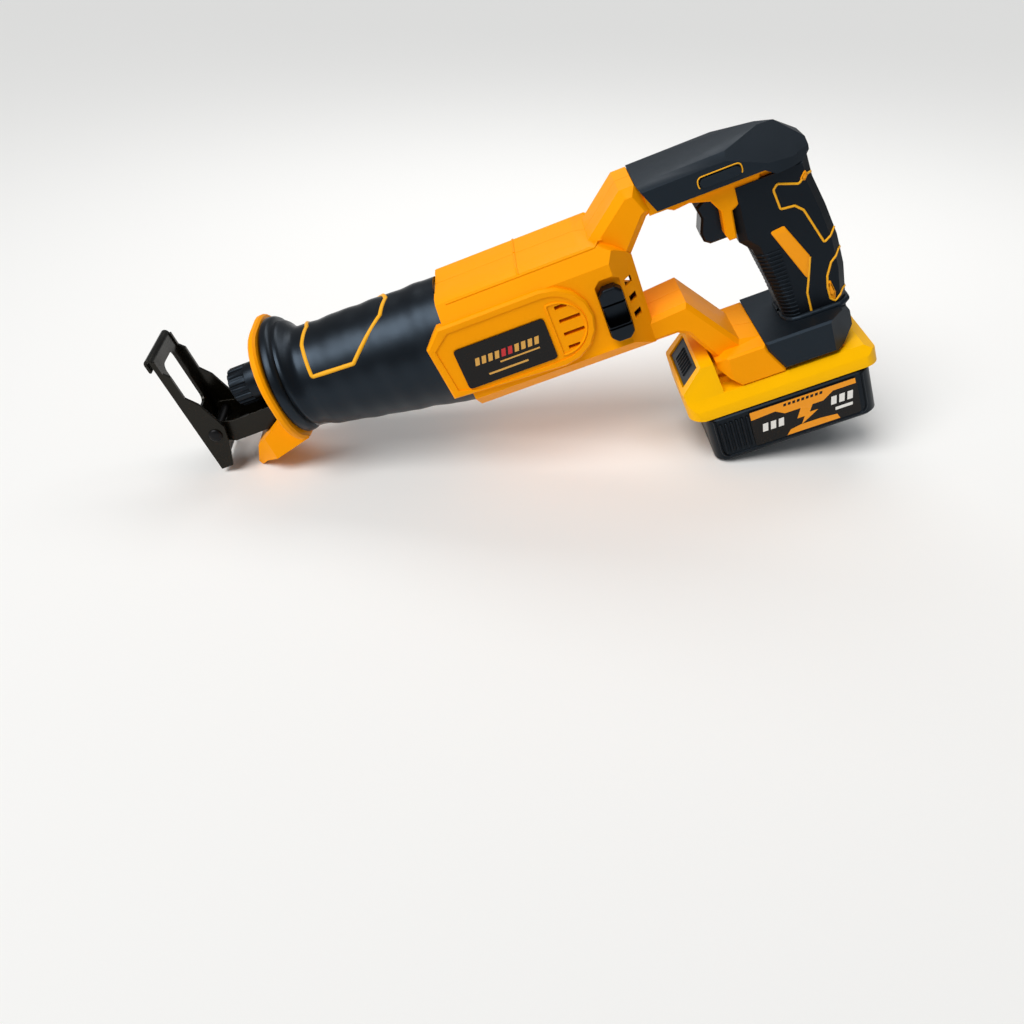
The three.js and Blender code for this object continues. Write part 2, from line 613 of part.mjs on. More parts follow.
// Flat seats for the name plates and the selector's frame.
const PLATE = { x: bodyFront + 32, z: bodyMiddle - 4, halfLength: 32, halfHeight: 15.5, depth: 1 };
const plateOutline = (grow) => roundedRectangle(PLATE.halfLength + grow, PLATE.halfHeight + grow, 2.5, [PLATE.x, PLATE.z]);
const selectorCentre = [BODY_REAR_X - 21, bodyMiddle - 2];
function longOctagon([x, z], halfWidth, halfHeight, cut) {
  return [
    [x - halfWidth, z - halfHeight + cut], [x - halfWidth + cut, z - halfHeight],
    [x + halfWidth - cut, z - halfHeight], [x + halfWidth, z - halfHeight + cut],
    [x + halfWidth, z + halfHeight - cut], [x + halfWidth - cut, z + halfHeight],
    [x - halfWidth + cut, z + halfHeight], [x - halfWidth, z + halfHeight - cut],
  ];
}
const SELECTOR = { halfWidth: 8, halfHeight: 19.5, cut: 4, depth: 5, travel: 5 };

const TRIGGER_HALF_WIDTH = 8;
const TRIGGER_TRAVEL = 6;
const LOCK = { x: -16, z: COVER_BOTTOM_Z + 7, halfLength: 13, halfHeight: 3, travel: 3 };
const lockOutline = (grow) =>
  roundedRectangle(LOCK.halfLength + grow, LOCK.halfHeight + grow, LOCK.halfHeight + grow - 0.01, [LOCK.x, LOCK.z]);

function housing() {
  const triggerSlot = block(
    [-26, -TRIGGER_HALF_WIDTH - SLIDE_GAP, 150],
    [-2, TRIGGER_HALF_WIDTH + SLIDE_GAP, COVER_BOTTOM_Z - 3],
  );
  const seatHalf = SELECTOR.halfHeight + SELECTOR.travel / 2 + SLIDE_GAP;
  const selectorSeat = prism(
    "y",
    longOctagon(selectorCentre, SELECTOR.halfWidth + SLIDE_GAP, seatHalf, SELECTOR.cut),
    -panelY - 1,
    -BODY_HALF_WIDTH + SELECTOR.depth,
  );
  const selectorPocket = prism(
    "y",
    longOctagon(selectorCentre, SELECTOR.halfWidth + WALL, seatHalf + WALL, SELECTOR.cut),
    -BODY_HALF_WIDTH,
    -BODY_HALF_WIDTH + SELECTOR.depth + WALL,
  ).intersect(frameOutside());
  const plateSeats = join([-1, 1].map((side) => prism(
    "y", plateOutline(GAP), side < 0 ? -panelY - 1 : panelY - PLATE.depth, side < 0 ? -panelY + PLATE.depth : panelY + 1,
  )));
  return frameOutside()
    .subtract(frameInside())
    .add(bosses().intersect(frameOutside()))
    .add(selectorPocket)
    .subtract(join([
      screwHoles(), batteryBay(), ventCuts(), triggerSlot, selectorSeat, plateSeats,
      prism("y", lockOutline(SLIDE_GAP), -COVER_HALF_WIDTH, COVER_HALF_WIDTH),
      boot(2 * GAP), gearCover(GAP), gearCase(GAP),
    ]));
}

// ---------------------------------------------------------------- nose: boot, gear case, guard
// The oval of the boot's outer skin at a place along x, drawn in by an inset.
function bootOval(x, inset = 0) {
  const t = THREE.MathUtils.clamp((bodyFront - x) / BOOT_LENGTH, 0, 1);
  const mix = (key) => THREE.MathUtils.lerp(BOOT_REAR[key], BOOT_FRONT[key], t);
  return { x, y: mix("y") - inset, z: mix("z") - inset, centre: mix("centre") };
}
const rimOval = (x, inset = 0) => {
  const half = (GUARD_TOP_Z - GUARD_BOTTOM_Z) / 2;
  return { x, y: GUARD_HALF_WIDTH - 2 - inset, z: half - 1 - inset, centre: GUARD_BOTTOM_Z + half };
};
function boot(grow = 0) {
  const outside = loft([
    rimOval(rimFront - grow, -grow), rimOval(bootFront - BOOT_RIM_DEPTH / 2, -grow), bootOval(bootFront + 6, -grow),
    bootOval(bodyFront - BOOT_LENGTH / 2, -grow), bootOval(bodyFront - GAP + grow, -grow),
  ]);
  if (grow) return outside;
  return outside.subtract(loft([bootOval(rimFront - 1, BOOT_WALL), bootOval(bootFront, BOOT_WALL), bootOval(bodyFront + 1, BOOT_WALL)]));
}
const caseInset = BOOT_WALL + GAP;
const caseRear = bodyFront - 5;
const coverRear = caseRear + 11;
const CASE_WALL = 3;
const BUSH_R = 11;
const bracketZ = STROKE_AXIS_Z - COLLAR_R - 17; // underside of the shoe bracket
const noseRecess = rimFront + 4; // room for the collar at the back of its stroke
const POST_R = 5; // of the fixed post that the crank gear turns on
const gearPostBottom = MOTOR_AXIS_Z - 26;
const plungerAt = [0, 0, STROKE_AXIS_Z];
const motorAt = [0, 0, MOTOR_AXIS_Z];

function gearCase(grow = 0) {
  const outside = loft([
    bootOval(rimFront - grow, caseInset - grow), bootOval(bootFront, caseInset - grow),
    bootOval(caseRear + grow, caseInset - grow),
  ]);
  if (grow) return outside;
  const inset = caseInset + CASE_WALL;
  const inside = loft([bootOval(rimFront + 10, inset), bootOval(caseRear + 1, inset)]);
  const noseTube = rod("x", BUSH_R + 3, rimFront + 5, rimFront + 46, plungerAt);
  const postBoss = rod("z", POST_R + 4, MOTOR_AXIS_Z - 45, gearPostBottom + 12, gearAt, 16).intersect(outside);
  return outside
    .subtract(inside)
    .add(noseTube)
    .add(postBoss)
    .subtract(rod("z", POST_R + GAP, gearPostBottom - GAP, MOTOR_AXIS_Z, gearAt, 16))
    .subtract(rod("x", BUSH_R + GAP, rimFront - 1, rimFront + 47, plungerAt))
    .subtract(rod("x", COLLAR_R + 1.5, rimFront - 1, noseRecess, plungerAt))
    .subtract(guardScrewAt(-1, GAP))
    .subtract(guardScrewAt(1, GAP))
    .subtract(block(
      [rimFront - 1, -BRACKET_HALF_WIDTH - SLIDE_GAP, bracketZ - SLIDE_GAP],
      [rimFront + 11, BRACKET_HALF_WIDTH + SLIDE_GAP, bracketZ + BRACKET_HEIGHT + SLIDE_GAP],
    ));
}
function gearCover(grow = 0) {
  const outside = loft([
    bootOval(caseRear + GAP - grow, caseInset + 0.5 - grow), bootOval(bodyFront, caseInset + 0.5 - grow),
    bootOval(coverRear + grow, caseInset + 0.5 - grow),
  ]);
  if (grow) return outside;
  return outside
    .subtract(rod("x", BUSH_R + GAP, caseRear - 1, coverRear + 1, plungerAt))
    .subtract(rod("x", BEARING_R + GAP, caseRear - 1, coverRear + 1, motorAt));
}

const BEARING_R = 10;
const guardShape = (inset) => {
  const half = (GUARD_TOP_Z - GUARD_BOTTOM_Z) / 2;
  return roundedRectangle(GUARD_HALF_WIDTH - inset, half - inset, 38 - inset, [0, GUARD_BOTTOM_Z + half]);
};
const lipTip = [guardFront - LIP_REACH, GUARD_BOTTOM_Z - LIP_DROP];
const lipProfile = [
  [rimFront - GAP, GUARD_BOTTOM_Z + 28], [guardFront - 4, GUARD_BOTTOM_Z + 27], [guardFront - 16, GUARD_BOTTOM_Z + 20],
  [lipTip[0] + 10, lipTip[1] + 19], [lipTip[0], lipTip[1] + 3], [lipTip[0] + 2, lipTip[1]],
  [lipTip[0] + 9, lipTip[1] + 4], [rimFront - GAP, GUARD_BOTTOM_Z + 4],
];
const lipPlan = [
  [rimFront, -LIP_HALF_WIDTH], [lipTip[0] + 20, -LIP_HALF_WIDTH], [lipTip[0] - 1, -LIP_HALF_WIDTH + 15],
  [lipTip[0] - 1, LIP_HALF_WIDTH - 15], [lipTip[0] + 20, LIP_HALF_WIDTH], [rimFront, LIP_HALF_WIDTH],
];
const GUARD_SCREW = { y: 27, z: STROKE_AXIS_Z - 2, r: 2, head: 3.4 };
const guardScrewAt = (side, grow) => turned("x", [
  [0, guardFront - 2], [GUARD_SCREW.head, guardFront - 2 + 0.5], [GUARD_SCREW.head, guardFront - GAP + grow],
  [GUARD_SCREW.r + grow, guardFront - GAP + grow], [GUARD_SCREW.r + grow, rimFront + 8 + grow], [0, rimFront + 8 + grow],
], [0, side * GUARD_SCREW.y, GUARD_SCREW.z], 12);
function noseGuard() {
  const plate = prism("x", guardShape(0), guardFront, rimFront - GAP, 1.5);
  const lip = prism("y", lipProfile, -LIP_HALF_WIDTH, LIP_HALF_WIDTH).intersect(
    prism("z", lipPlan, lipTip[1] - 1, GUARD_BOTTOM_Z + 30),
  );
  return plate
    .add(lip)
    .subtract(guardScrewAt(-1, GAP))
    .subtract(guardScrewAt(1, GAP))
    .subtract(rod("x", COLLAR_R + 4, guardFront - 2, rimFront + 1, plungerAt))
    .subtract(block(
      [lipTip[0] - 1, -BRACKET_HALF_WIDTH - 3, bracketZ - 2],
      [rimFront + 1, BRACKET_HALF_WIDTH + 3, STROKE_AXIS_Z],
    ));
}

// ---------------------------------------------------------------- shoe
const pivotAt = [guardFront - SHOE_REACH + 11, 0, bracketZ + 13];
const shoeFront = guardFront - SHOE_REACH;
const shoeBottom = pivotAt[2] - 27;
const shoeTop = shoeBottom + SHOE_HEIGHT;
const RIVET_R = 3;
const pivotReach = 8; // metal round the rivet

function shoeBracket() {
  const rear = rimFront + 26;
  const outer = prism("y", [
    [pivotAt[0] - pivotReach + 2, pivotAt[2] - 5], [pivotAt[0] - pivotReach + 2, pivotAt[2] + 4],
    [pivotAt[0] - 2, pivotAt[2] + pivotReach - 1], [pivotAt[0] + 14, bracketZ + BRACKET_HEIGHT],
    [rear, bracketZ + BRACKET_HEIGHT], [rear, bracketZ], [pivotAt[0] + 8, bracketZ],
  ], -BRACKET_HALF_WIDTH, BRACKET_HALF_WIDTH);
  const inside = BRACKET_HALF_WIDTH - BRACKET_PLATE;
  return outer
    .subtract(block([pivotAt[0] - 20, -inside, bracketZ + BRACKET_PLATE], [rear + 1, inside, bracketZ + 40]))
    .subtract(rod("y", RIVET_R + GAP, -30, 30, pivotAt, 16));
}
function shoePlate() {
  const wing = [
    [shoeFront, shoeBottom], [shoeFront + 9, shoeBottom], [shoeFront + 17, pivotAt[2] - pivotReach],
    [shoeFront + 20, pivotAt[2] + 4], [shoeFront + 15, pivotAt[2] + 20], [shoeFront + 13, pivotAt[2] + 26],
    [shoeFront + 7, pivotAt[2] + 34], [shoeFront + 7, shoeTop - 14], [shoeFront + 3.5, shoeTop - 10],
    [shoeFront + 3.5, shoeTop], [shoeFront, shoeTop],
  ];
  const inside = SHOE_HALF_WIDTH - SHOE_PLATE;
  const hollow = block([shoeFront + SHOE_PLATE, -inside, shoeBottom - 1], [shoeFront + 40, inside, shoeTop + 1]);
  const window = prism("x", roundedRectangle(13, 22, 5, [0, pivotAt[2] + 36]), shoeFront - 1, shoeFront + 5);
  return prism("y", wing, -SHOE_HALF_WIDTH, SHOE_HALF_WIDTH)
    .subtract(hollow)
    .subtract(window)
    .subtract(rod("y", RIVET_R + GAP, -30, 30, pivotAt, 16));
}
function shoeRivet() {
  const reach = SHOE_HALF_WIDTH + GAP;
  return turned("y", [
    [0, -reach - 2], [3.4, -reach - 2], [5, -reach], [RIVET_R, -reach], [RIVET_R, reach], [5, reach],
    [3.4, reach + 2], [0, reach + 2],
  ], pivotAt, 16);
}

// ---------------------------------------------------------------- stroke mechanism
const gearX = caseRear - GEAR_R - 1;
const gearPlate = [MOTOR_AXIS_Z + 10, MOTOR_AXIS_Z + 14];
const gearAt = [gearX, 0, 0];
const meanR = GEAR_R - 4;
const pinionOuter = gearPlate[0] - 0.4 - MOTOR_AXIS_Z;

const pinAt = [gearX, STROKE / 2, 0];
const CRANK_PIN_R = 3;
const ROLLER_R = 5;
const pinTop = gearPlate[1] + 3.8;
const yokeZ = [pinTop + SLIDE_GAP, STROKE_AXIS_Z - PLUNGER_R - SLIDE_GAP]; // its slot floats just over the roller

function crankGear() {
  let gear = turned("z", [
    [0, MOTOR_AXIS_Z - 4], [12, MOTOR_AXIS_Z - 4], [12, gearPlate[0]], [GEAR_R, gearPlate[0]], [GEAR_R, gearPlate[1]],
    [0, gearPlate[1]],
  ], gearAt, 28);
  const half = (1.8 * Math.PI) / 180;
  for (let i = 0; i < GEAR_TEETH; i++) {
    const at = ((i + 0.5) * 2 * Math.PI) / GEAR_TEETH;
    const corner = (r, a) => [gearX + r * Math.cos(at + a), r * Math.sin(at + a)];
    const outline = [
      corner(GEAR_R - 7, -half), corner(GEAR_R - 0.3, -half), corner(GEAR_R - 0.3, half), corner(GEAR_R - 7, half),
    ];
    gear = gear.add(prism("z", outline, gearPlate[0] - TOOTH_DEPTH, gearPlate[0] + 0.5));
  }
  return gear
    .subtract(rod("z", 9 + GAP, MOTOR_AXIS_Z - 5, gearPlate[1] - 1.5, gearAt, 20))
    .add(rod("z", CRANK_PIN_R, gearPlate[1] - 0.5, pinTop, pinAt, 12));
}
function pinion() {
  const root = pinionOuter - TOOTH_DEPTH - 0.1;
  const tip = 0.7;
  const base = 1.1;
  let wheel = rod("x", root, gearX + meanR - 4, gearX + meanR + 4, motorAt, 18);
  for (let i = 0; i < PINION_TEETH; i++) {
    const a = (i * 2 * Math.PI) / PINION_TEETH;
    const at = (y, r) => [y * Math.cos(a) + r * Math.sin(a), MOTOR_AXIS_Z - y * Math.sin(a) + r * Math.cos(a)];
    wheel = wheel.add(prism(
      "x",
      [at(-base, root - 1), at(base, root - 1), at(tip, pinionOuter), at(-tip, pinionOuter)],
      gearX + meanR - 4,
      gearX + meanR + 4,
    ));
  }
  return wheel.subtract(rod("x", SHAFT_R + GAP, gearX, gearX + GEAR_R + 10, motorAt, 16));
}
function yoke() {
  const reach = STROKE / 2 + ROLLER_R + 4;
  const slot = roundedRectangle(ROLLER_R + SLIDE_GAP, reach - 3, ROLLER_R + SLIDE_GAP - 0.05, [gearX, 0]);
  return block([gearX - 10, -reach, yokeZ[0]], [gearX + 10, reach, yokeZ[1]])
    .subtract(prism("z", slot, yokeZ[0] - 1, yokeZ[1] + 1))
    .add(block([gearX - 10, -PLUNGER_R - 4, yokeZ[1] - 0.1], [gearX + 10, PLUNGER_R + 4, yokeZ[1] + 5]))
    .subtract(rod("x", PLUNGER_R + GAP, gearX - 20, gearX + 20, plungerAt));
}
function counterweight() {
  return ring("z", 20, 12 + GAP, MOTOR_AXIS_Z, gearPlate[0] - GAP, gearAt)
    .intersect(block([gearX - 30, -30, MOTOR_AXIS_Z - 1], [gearX + 30, -3, gearPlate[0]]));
}

const plungerTip = guardFront - 24;
const plungerRear = caseRear + 14;
const clampRear = plungerTip + 14;
const BLADE_SLOT = { halfThickness: 1.1, halfHeight: 7 };
function plunger() {
  return turned("x", [
    [0, clampRear], [6.5, clampRear], [6.5, guardFront + 2], [PLUNGER_R, guardFront + 4], [PLUNGER_R, plungerRear - 1],
    [PLUNGER_R - 1, plungerRear], [0, plungerRear],
  ], plungerAt);
}
function clampBody() {
  return turned("x", [
    [0, plungerTip - 8], [8, plungerTip - 8], [9.5, plungerTip - 6], [9.5, clampRear - GAP], [0, clampRear - GAP],
  ], plungerAt)
    .subtract(block(
      [plungerTip - 9, -BLADE_SLOT.halfThickness, STROKE_AXIS_Z - BLADE_SLOT.halfHeight],
      [clampRear - 6, BLADE_SLOT.halfThickness, STROKE_AXIS_Z + BLADE_SLOT.halfHeight],
    ))
    .subtract(rod("y", 2.4, BLADE_SLOT.halfThickness - 0.5, 12, [plungerTip + 2, 0, STROKE_AXIS_Z], 16));
}
const COLLAR_RIBS = 12;
function clampCollar() {
  const [front, rear] = [plungerTip - 9, clampRear + 3];
  let collar = turned("x", [
    [0, front], [COLLAR_R - 3.4, front], [COLLAR_R - 1.6, front + 2.5], [COLLAR_R - 1.6, front + 12],
    [COLLAR_R, front + 12.5], [COLLAR_R, rear - 1.5], [COLLAR_R - 1.5, rear], [0, rear],
  ], plungerAt);
  for (let i = 0; i < COLLAR_RIBS; i++) {
    const a = (i * 2 * Math.PI) / COLLAR_RIBS;
    const at = (y, r) => [y * Math.cos(a) - r * Math.sin(a), STROKE_AXIS_Z + y * Math.sin(a) + r * Math.cos(a)];
    const low = COLLAR_R - 3;
    collar = collar.add(prism(
      "x", [at(-2, low), at(2, low), at(1.4, COLLAR_R), at(-1.4, COLLAR_R)], front + 2, rear - 2,
    ));
  }
  return collar.subtract(rod("x", 9.5 + SLIDE_GAP, front - 1, rear + 1, plungerAt));
}
function clampPin() {
  return rod("y", 2, BLADE_SLOT.halfThickness + 0.4, 8.6, [plungerTip + 2, 0, STROKE_AXIS_Z], 12);
}

// ---------------------------------------------------------------- motor
const motorFront = coverRear + 22;
const motorRear = motorFront + MOTOR_LENGTH;
function motorCan() {
  return ring("x", MOTOR_R, MOTOR_R - 3, motorFront, motorRear, motorAt, 24);
}
function fan() {
  let wheel = ring("x", 8, SHAFT_R + GAP, motorFront - 11, motorFront - 2, motorAt, 16)
    .add(ring("x", MOTOR_R - 3, 6, motorFront - 4, motorFront - 2, motorAt, 20));
  for (let i = 0; i < 9; i++) {
    const a = (i * 2 * Math.PI) / 9;
    const at = (y, r) => [y * Math.cos(a) - r * Math.sin(a), MOTOR_AXIS_Z + y * Math.sin(a) + r * Math.cos(a)];
    wheel = wheel.add(prism(
      "x", [at(-0.8, 7), at(0.8, 7), at(0.8, MOTOR_R - 4), at(-0.8, MOTOR_R - 4)], motorFront - 10, motorFront - 3,
    ));
  }
  return wheel;
}
const MAGNET = { outer: MOTOR_R - 3 - GAP, inner: MOTOR_R - 3 - 4 };
const SHAFT_R = 4;
const COMMUTATOR_R = 10;
function armature() {
  const r = MAGNET.inner - 0.8;
  let core = rod("x", r, motorFront + 8, motorRear - 20, motorAt, 20);
  for (let i = 0; i < 10; i++) {
    const a = ((i + 0.5) * 2 * Math.PI) / 10;
    const at = (y, h) => [y * Math.cos(a) - h * Math.sin(a), MOTOR_AXIS_Z + y * Math.sin(a) + h * Math.cos(a)];
    core = core.subtract(prism(
      "x", [at(-1, r - 5), at(1, r - 5), at(1, r + 1), at(-1, r + 1)], motorFront, motorRear,
    ));
  }
  return core.subtract(rod("x", SHAFT_R + GAP, motorFront - 1, motorRear + 1, motorAt, 16));
}
function brush(side) {
  const [inner, outer] = [side * (COMMUTATOR_R + 0.5), side * (MAGNET.outer - 2)];
  return block(
    [motorRear - 13, Math.min(inner, outer), MOTOR_AXIS_Z - 3],
    [motorRear - 7, Math.max(inner, outer), MOTOR_AXIS_Z + 3],
  );
}

// ---------------------------------------------------------------- handle
const coverProfile = [
  [BODY_REAR_X + 23, COVER_BOTTOM_Z + GAP], [BODY_REAR_X + 14.5, coverTop - 1], [16, coverTop + 1], [27, coverTop - 1],
  [42, COVER_BOTTOM_Z + 5], [42, COVER_BOTTOM_Z - 2], [37, COVER_BOTTOM_Z - 6], [18, COVER_BOTTOM_Z - 5],
  [11, COVER_BOTTOM_Z + GAP],
];
function handleCover() {
  const section = mirrored([
    [COVER_HALF_WIDTH, COVER_BOTTOM_Z - 8], [COVER_HALF_WIDTH, coverTop - 5], [COVER_HALF_WIDTH - 6, coverTop - 1],
    [4, coverTop + 1],
  ]);
  const whole = prism("y", coverProfile, -COVER_HALF_WIDTH, COVER_HALF_WIDTH)
    .intersect(prism("z", coverPlan, COVER_BOTTOM_Z - 10, coverTop + 5))
    .intersect(prism("x", section, BODY_REAR_X, 50));
  return facetted(whole, 0);
}
function gripSleeve() {
  return prism("y", [...gripFront, ...gripRear], -GRIP_HALF_WIDTH, GRIP_HALF_WIDTH, 5).subtract(
    block([-20, -40, COVER_BOTTOM_Z - 7], [20, 40, coverTop]),
  );
}
function footCover() {
  return prism("y", footCoverProfile, -footCoverHalf, footCoverHalf, 1.5).intersect(
    prism("z", footCoverPlan, shoulderZ, footTop + 5),
  );
}

// Overmoulded pieces are drawn whole; the harder piece under each of them is then cut away from it.
const shell = housing();
const sleeve = gripSleeve();
const cover = handleCover();
const foot = footCover();

// A copy of a solid swollen by the gap in every direction.
function swollen(solid, by = GAP) {
  const steps = [[by, 0, 0], [-by, 0, 0], [0, by, 0], [0, -by, 0], [0, 0, by], [0, 0, -by]];
  return join([solid, ...steps.map((step) => solid.translate(step))]);
}
const frame = frameOutside();
const lockHole = prism("y", lockOutline(SLIDE_GAP), -COVER_HALF_WIDTH - 5, COVER_HALF_WIDTH + 5);
const headroom = screwPlaces.map(([x, z]) => rod("y", SCREW_HEAD_R + GAP, SCREW_HEAD_Y, 60, [x, 0, z], 12));
const handleSkin = cover.subtract(swollen(frame)).subtract(lockHole).subtract(join(headroom));
const triggerRoom = block(
  [-30, -TRIGGER_HALF_WIDTH - SLIDE_GAP, 150],
  [-2, TRIGGER_HALF_WIDTH + SLIDE_GAP, COVER_BOTTOM_Z],
);
const gripSkinPiece = sleeve
  .subtract(swollen(frame))
  .subtract(swollen(cover))
  .subtract(join(headroom))
  .subtract(triggerRoom);
const footSkin = foot.subtract(swollen(frame)).subtract(swollen(sleeve)).subtract(batteryBay().add(block(
  [footJointX, -railHalf - SLIDE_GAP, shoulderZ],
  [railRear + 10, railHalf + SLIDE_GAP, railTop + SLIDE_GAP],
)));

// The one connected body that matters, without the crumbs that a cut can leave.
function largest(solid) {
  return solid.decompose().reduce((a, b) => (a.volume() > b.volume() ? a : b));
}
piece("handle_cover", largest(handleSkin), blackRubber);
piece("grip_rubber", largest(gripSkinPiece), blackRubber);
piece("foot_cover", largest(footSkin), blackRubber);
const BIG = 600;
piece("housing_left", largest(shell.intersect(block([-BIG, -BIG, -BIG], [BIG, 0, BIG]))), yellowPlastic);
piece("housing_right", largest(shell.intersect(block([-BIG, GAP, -BIG], [BIG, BIG, BIG]))), yellowPlastic);
screwPlaces.forEach((place, i) => {
  piece(`housing_screw_${i + 1}`, screwAt(place, 0, SCREW_HEAD_Y + SCREW_HEAD_DEPTH), blackSteel);
});
for (const [name, side] of [["name_plate_left", -1], ["name_plate_right", 1]]) {
  const outer = side * (panelY + GAP);
  const inner = side * (panelY - PLATE.depth + GAP);
  piece(name, prism("y", plateOutline(0), Math.min(outer, inner), Math.max(outer, inner)), darkLabel);
}
const selectorRest = [selectorCentre[0], selectorCentre[1] - SELECTOR.travel / 2];
piece("selector_button", prism(
  "y",
  longOctagon(selectorRest, SELECTOR.halfWidth, SELECTOR.halfHeight, SELECTOR.cut),
  -panelY - 1,
  -BODY_HALF_WIDTH + SELECTOR.depth - GAP,
  1,
), blackPlastic);
piece("lock_button", prism(
  "y", lockOutline(0), -COVER_HALF_WIDTH - 1.5, COVER_HALF_WIDTH + 1.5 - LOCK.travel,
), blackPlastic);

// ---------------------------------------------------------------- trigger and switch
const triggerRear = -5;
const SPRING_R = 2.7;
const springZ = 170;
const triggerProfile = [
  [-33, 180], [-31, 172], [-34, 162], [-33, 156], [-29, 153], [triggerRear, 153], [triggerRear, COVER_BOTTOM_Z - 9],
  [-24, COVER_BOTTOM_Z - 9],
];
piece("trigger", prism("y", triggerProfile, -TRIGGER_HALF_WIDTH, TRIGGER_HALF_WIDTH, 1.5).subtract(
  rod("x", SPRING_R + GAP, triggerRear - 14, triggerRear + 1, [0, 0, springZ], 16),
), blackPlastic);
piece("trigger_spring", ring(
  "x", SPRING_R, SPRING_R - 1, triggerRear - 13, triggerRear - GAP, [0, 0, springZ], 16,
), brightSteel);
const switchFront = triggerRear + TRIGGER_TRAVEL + 1;
piece("switch_module", block([switchFront, -9, 162], [switchFront + 22, 9, 187]), blackPlastic);
piece("speed_controller", block(
  [bodyFront + 30, -18, BODY_BOTTOM_Z + WALL + 1], [BODY_REAR_X - 41, 18, BODY_BOTTOM_Z + WALL + 8],
), blackPlastic);
const contactBlockX = [railRear + 1, railRear + 10 - GAP];
const contactBlades = [-CONTACT_Y, CONTACT_Y].map((y) =>
  block([contactBlockX[0] - 14, y - 0.5, shoulderZ + 4.5], [contactBlockX[0] + 1, y + 0.5, shoulderZ + 11]));
piece("contact_block", block(
  [contactBlockX[0], -CONTACT_Y - 6, shoulderZ + 4], [contactBlockX[1], CONTACT_Y + 6, railTop + SLIDE_GAP - GAP],
).add(join(contactBlades)), blackPlastic);

// ---------------------------------------------------------------- nose, shoe, stroke and motor pieces
piece("front_boot", boot(), blackRubber);
piece("nose_guard", noseGuard(), yellowPlastic);
piece("guard_screw_left", guardScrewAt(-1, 0), blackSteel);
piece("guard_screw_right", guardScrewAt(1, 0), blackSteel);
piece("gear_case", gearCase(), castAluminium);
piece("gear_cover", gearCover(), castAluminium);
piece("shoe_bracket", shoeBracket(), blackSteel);
piece("shoe_plate", shoePlate(), blackSteel);
piece("shoe_rivet", shoeRivet(), brightSteel);
piece("plunger", plunger(), brightSteel);
piece("blade_clamp", clampBody(), brightSteel);
piece("clamp_collar", clampCollar(), blackPlastic);
piece("clamp_pin", clampPin(), brightSteel);
piece("clamp_spring", ring("x", 9.3, 6.5 + GAP, clampRear, clampRear + 2.5, plungerAt), brightSteel);
piece("plunger_seal", ring("x", BUSH_R, PLUNGER_R + GAP, noseRecess + GAP, noseRecess + 3, plungerAt), blackRubber);
piece("front_bush", ring("x", BUSH_R, PLUNGER_R + GAP, noseRecess + 3 + GAP, noseRecess + 40, plungerAt), bronze);
piece("rear_bush", ring("x", BUSH_R, PLUNGER_R + GAP, caseRear + GAP, coverRear, plungerAt), bronze);
piece("yoke", yoke(), brightSteel);
piece("crank_gear", crankGear(), brightSteel);
piece("counterweight", counterweight(), blackSteel);
piece("crank_roller", ring("z", ROLLER_R, CRANK_PIN_R + GAP, gearPlate[1] + GAP, pinTop, pinAt), brightSteel);
piece("gear_post", rod("z", POST_R, gearPostBottom, gearPlate[1] - 2, gearAt, 16), brightSteel);
piece("gear_bearing", ring("z", 9, POST_R + GAP, MOTOR_AXIS_Z - 3, gearPlate[1] - 2, gearAt, 20), bronze);
piece("pinion", pinion(), brightSteel);
piece("armature_shaft", rod("x", SHAFT_R, gearX + meanR - 4, motorRear + 8, motorAt, 16), brightSteel);
piece("front_bearing", ring("x", BEARING_R, SHAFT_R + GAP, caseRear + GAP, coverRear, motorAt), brightSteel);
piece("fan", fan(), blackPlastic);
piece("armature", armature(), copper);
piece("commutator", ring("x", COMMUTATOR_R, SHAFT_R + GAP, motorRear - 16, motorRear - 4, motorAt), copper);
piece("motor_can", motorCan(), blackSteel);
piece("magnet_ring", ring(
  "x", MAGNET.outer, MAGNET.inner, motorFront + 6, motorRear - 18, motorAt, 20,
), blackSteel);
piece("brush_left", brush(-1), copper);
piece("brush_right", brush(1), copper);
piece("motor_cap", ring("x", MOTOR_R - 0.2, 8 + GAP, motorRear + GAP, motorRear + 6, motorAt, 20), blackPlastic);
piece("rear_bearing", ring("x", 8, SHAFT_R + GAP, motorRear + GAP, motorRear + 6, motorAt), brightSteel);

// ---------------------------------------------------------------- resting pose
// The saw leans on the guard's lip and on the front edge of the battery's base.
const baseEdge = [BATTERY_FRONT_X + CASE_BEVEL, 0];
const restTilt = Math.atan2(lipTip[1] - baseEdge[1], baseEdge[0] - lipTip[0] - 2);
saw.rotation.y = -restTilt;
saw.updateMatrixWorld(true);
const box = new THREE.Box3().setFromObject(saw, true);
saw.position.set(-(box.min.x + box.max.x) / 2, -(box.min.y + box.max.y) / 2, -box.min.z);

const placed = new THREE.Group();
placed.add(saw);
export default placed;
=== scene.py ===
"""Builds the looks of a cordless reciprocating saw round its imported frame.

Shapes are drawn in the tool's own frame, in millimetres: +X runs from the shoe to the battery along the
blade's line, -Y is the user's left hand side and +Z is up from the battery's base. Each finished piece is
then turned and scaled into the row's frame, where the saw leans nose-down on its guard and battery.
"""

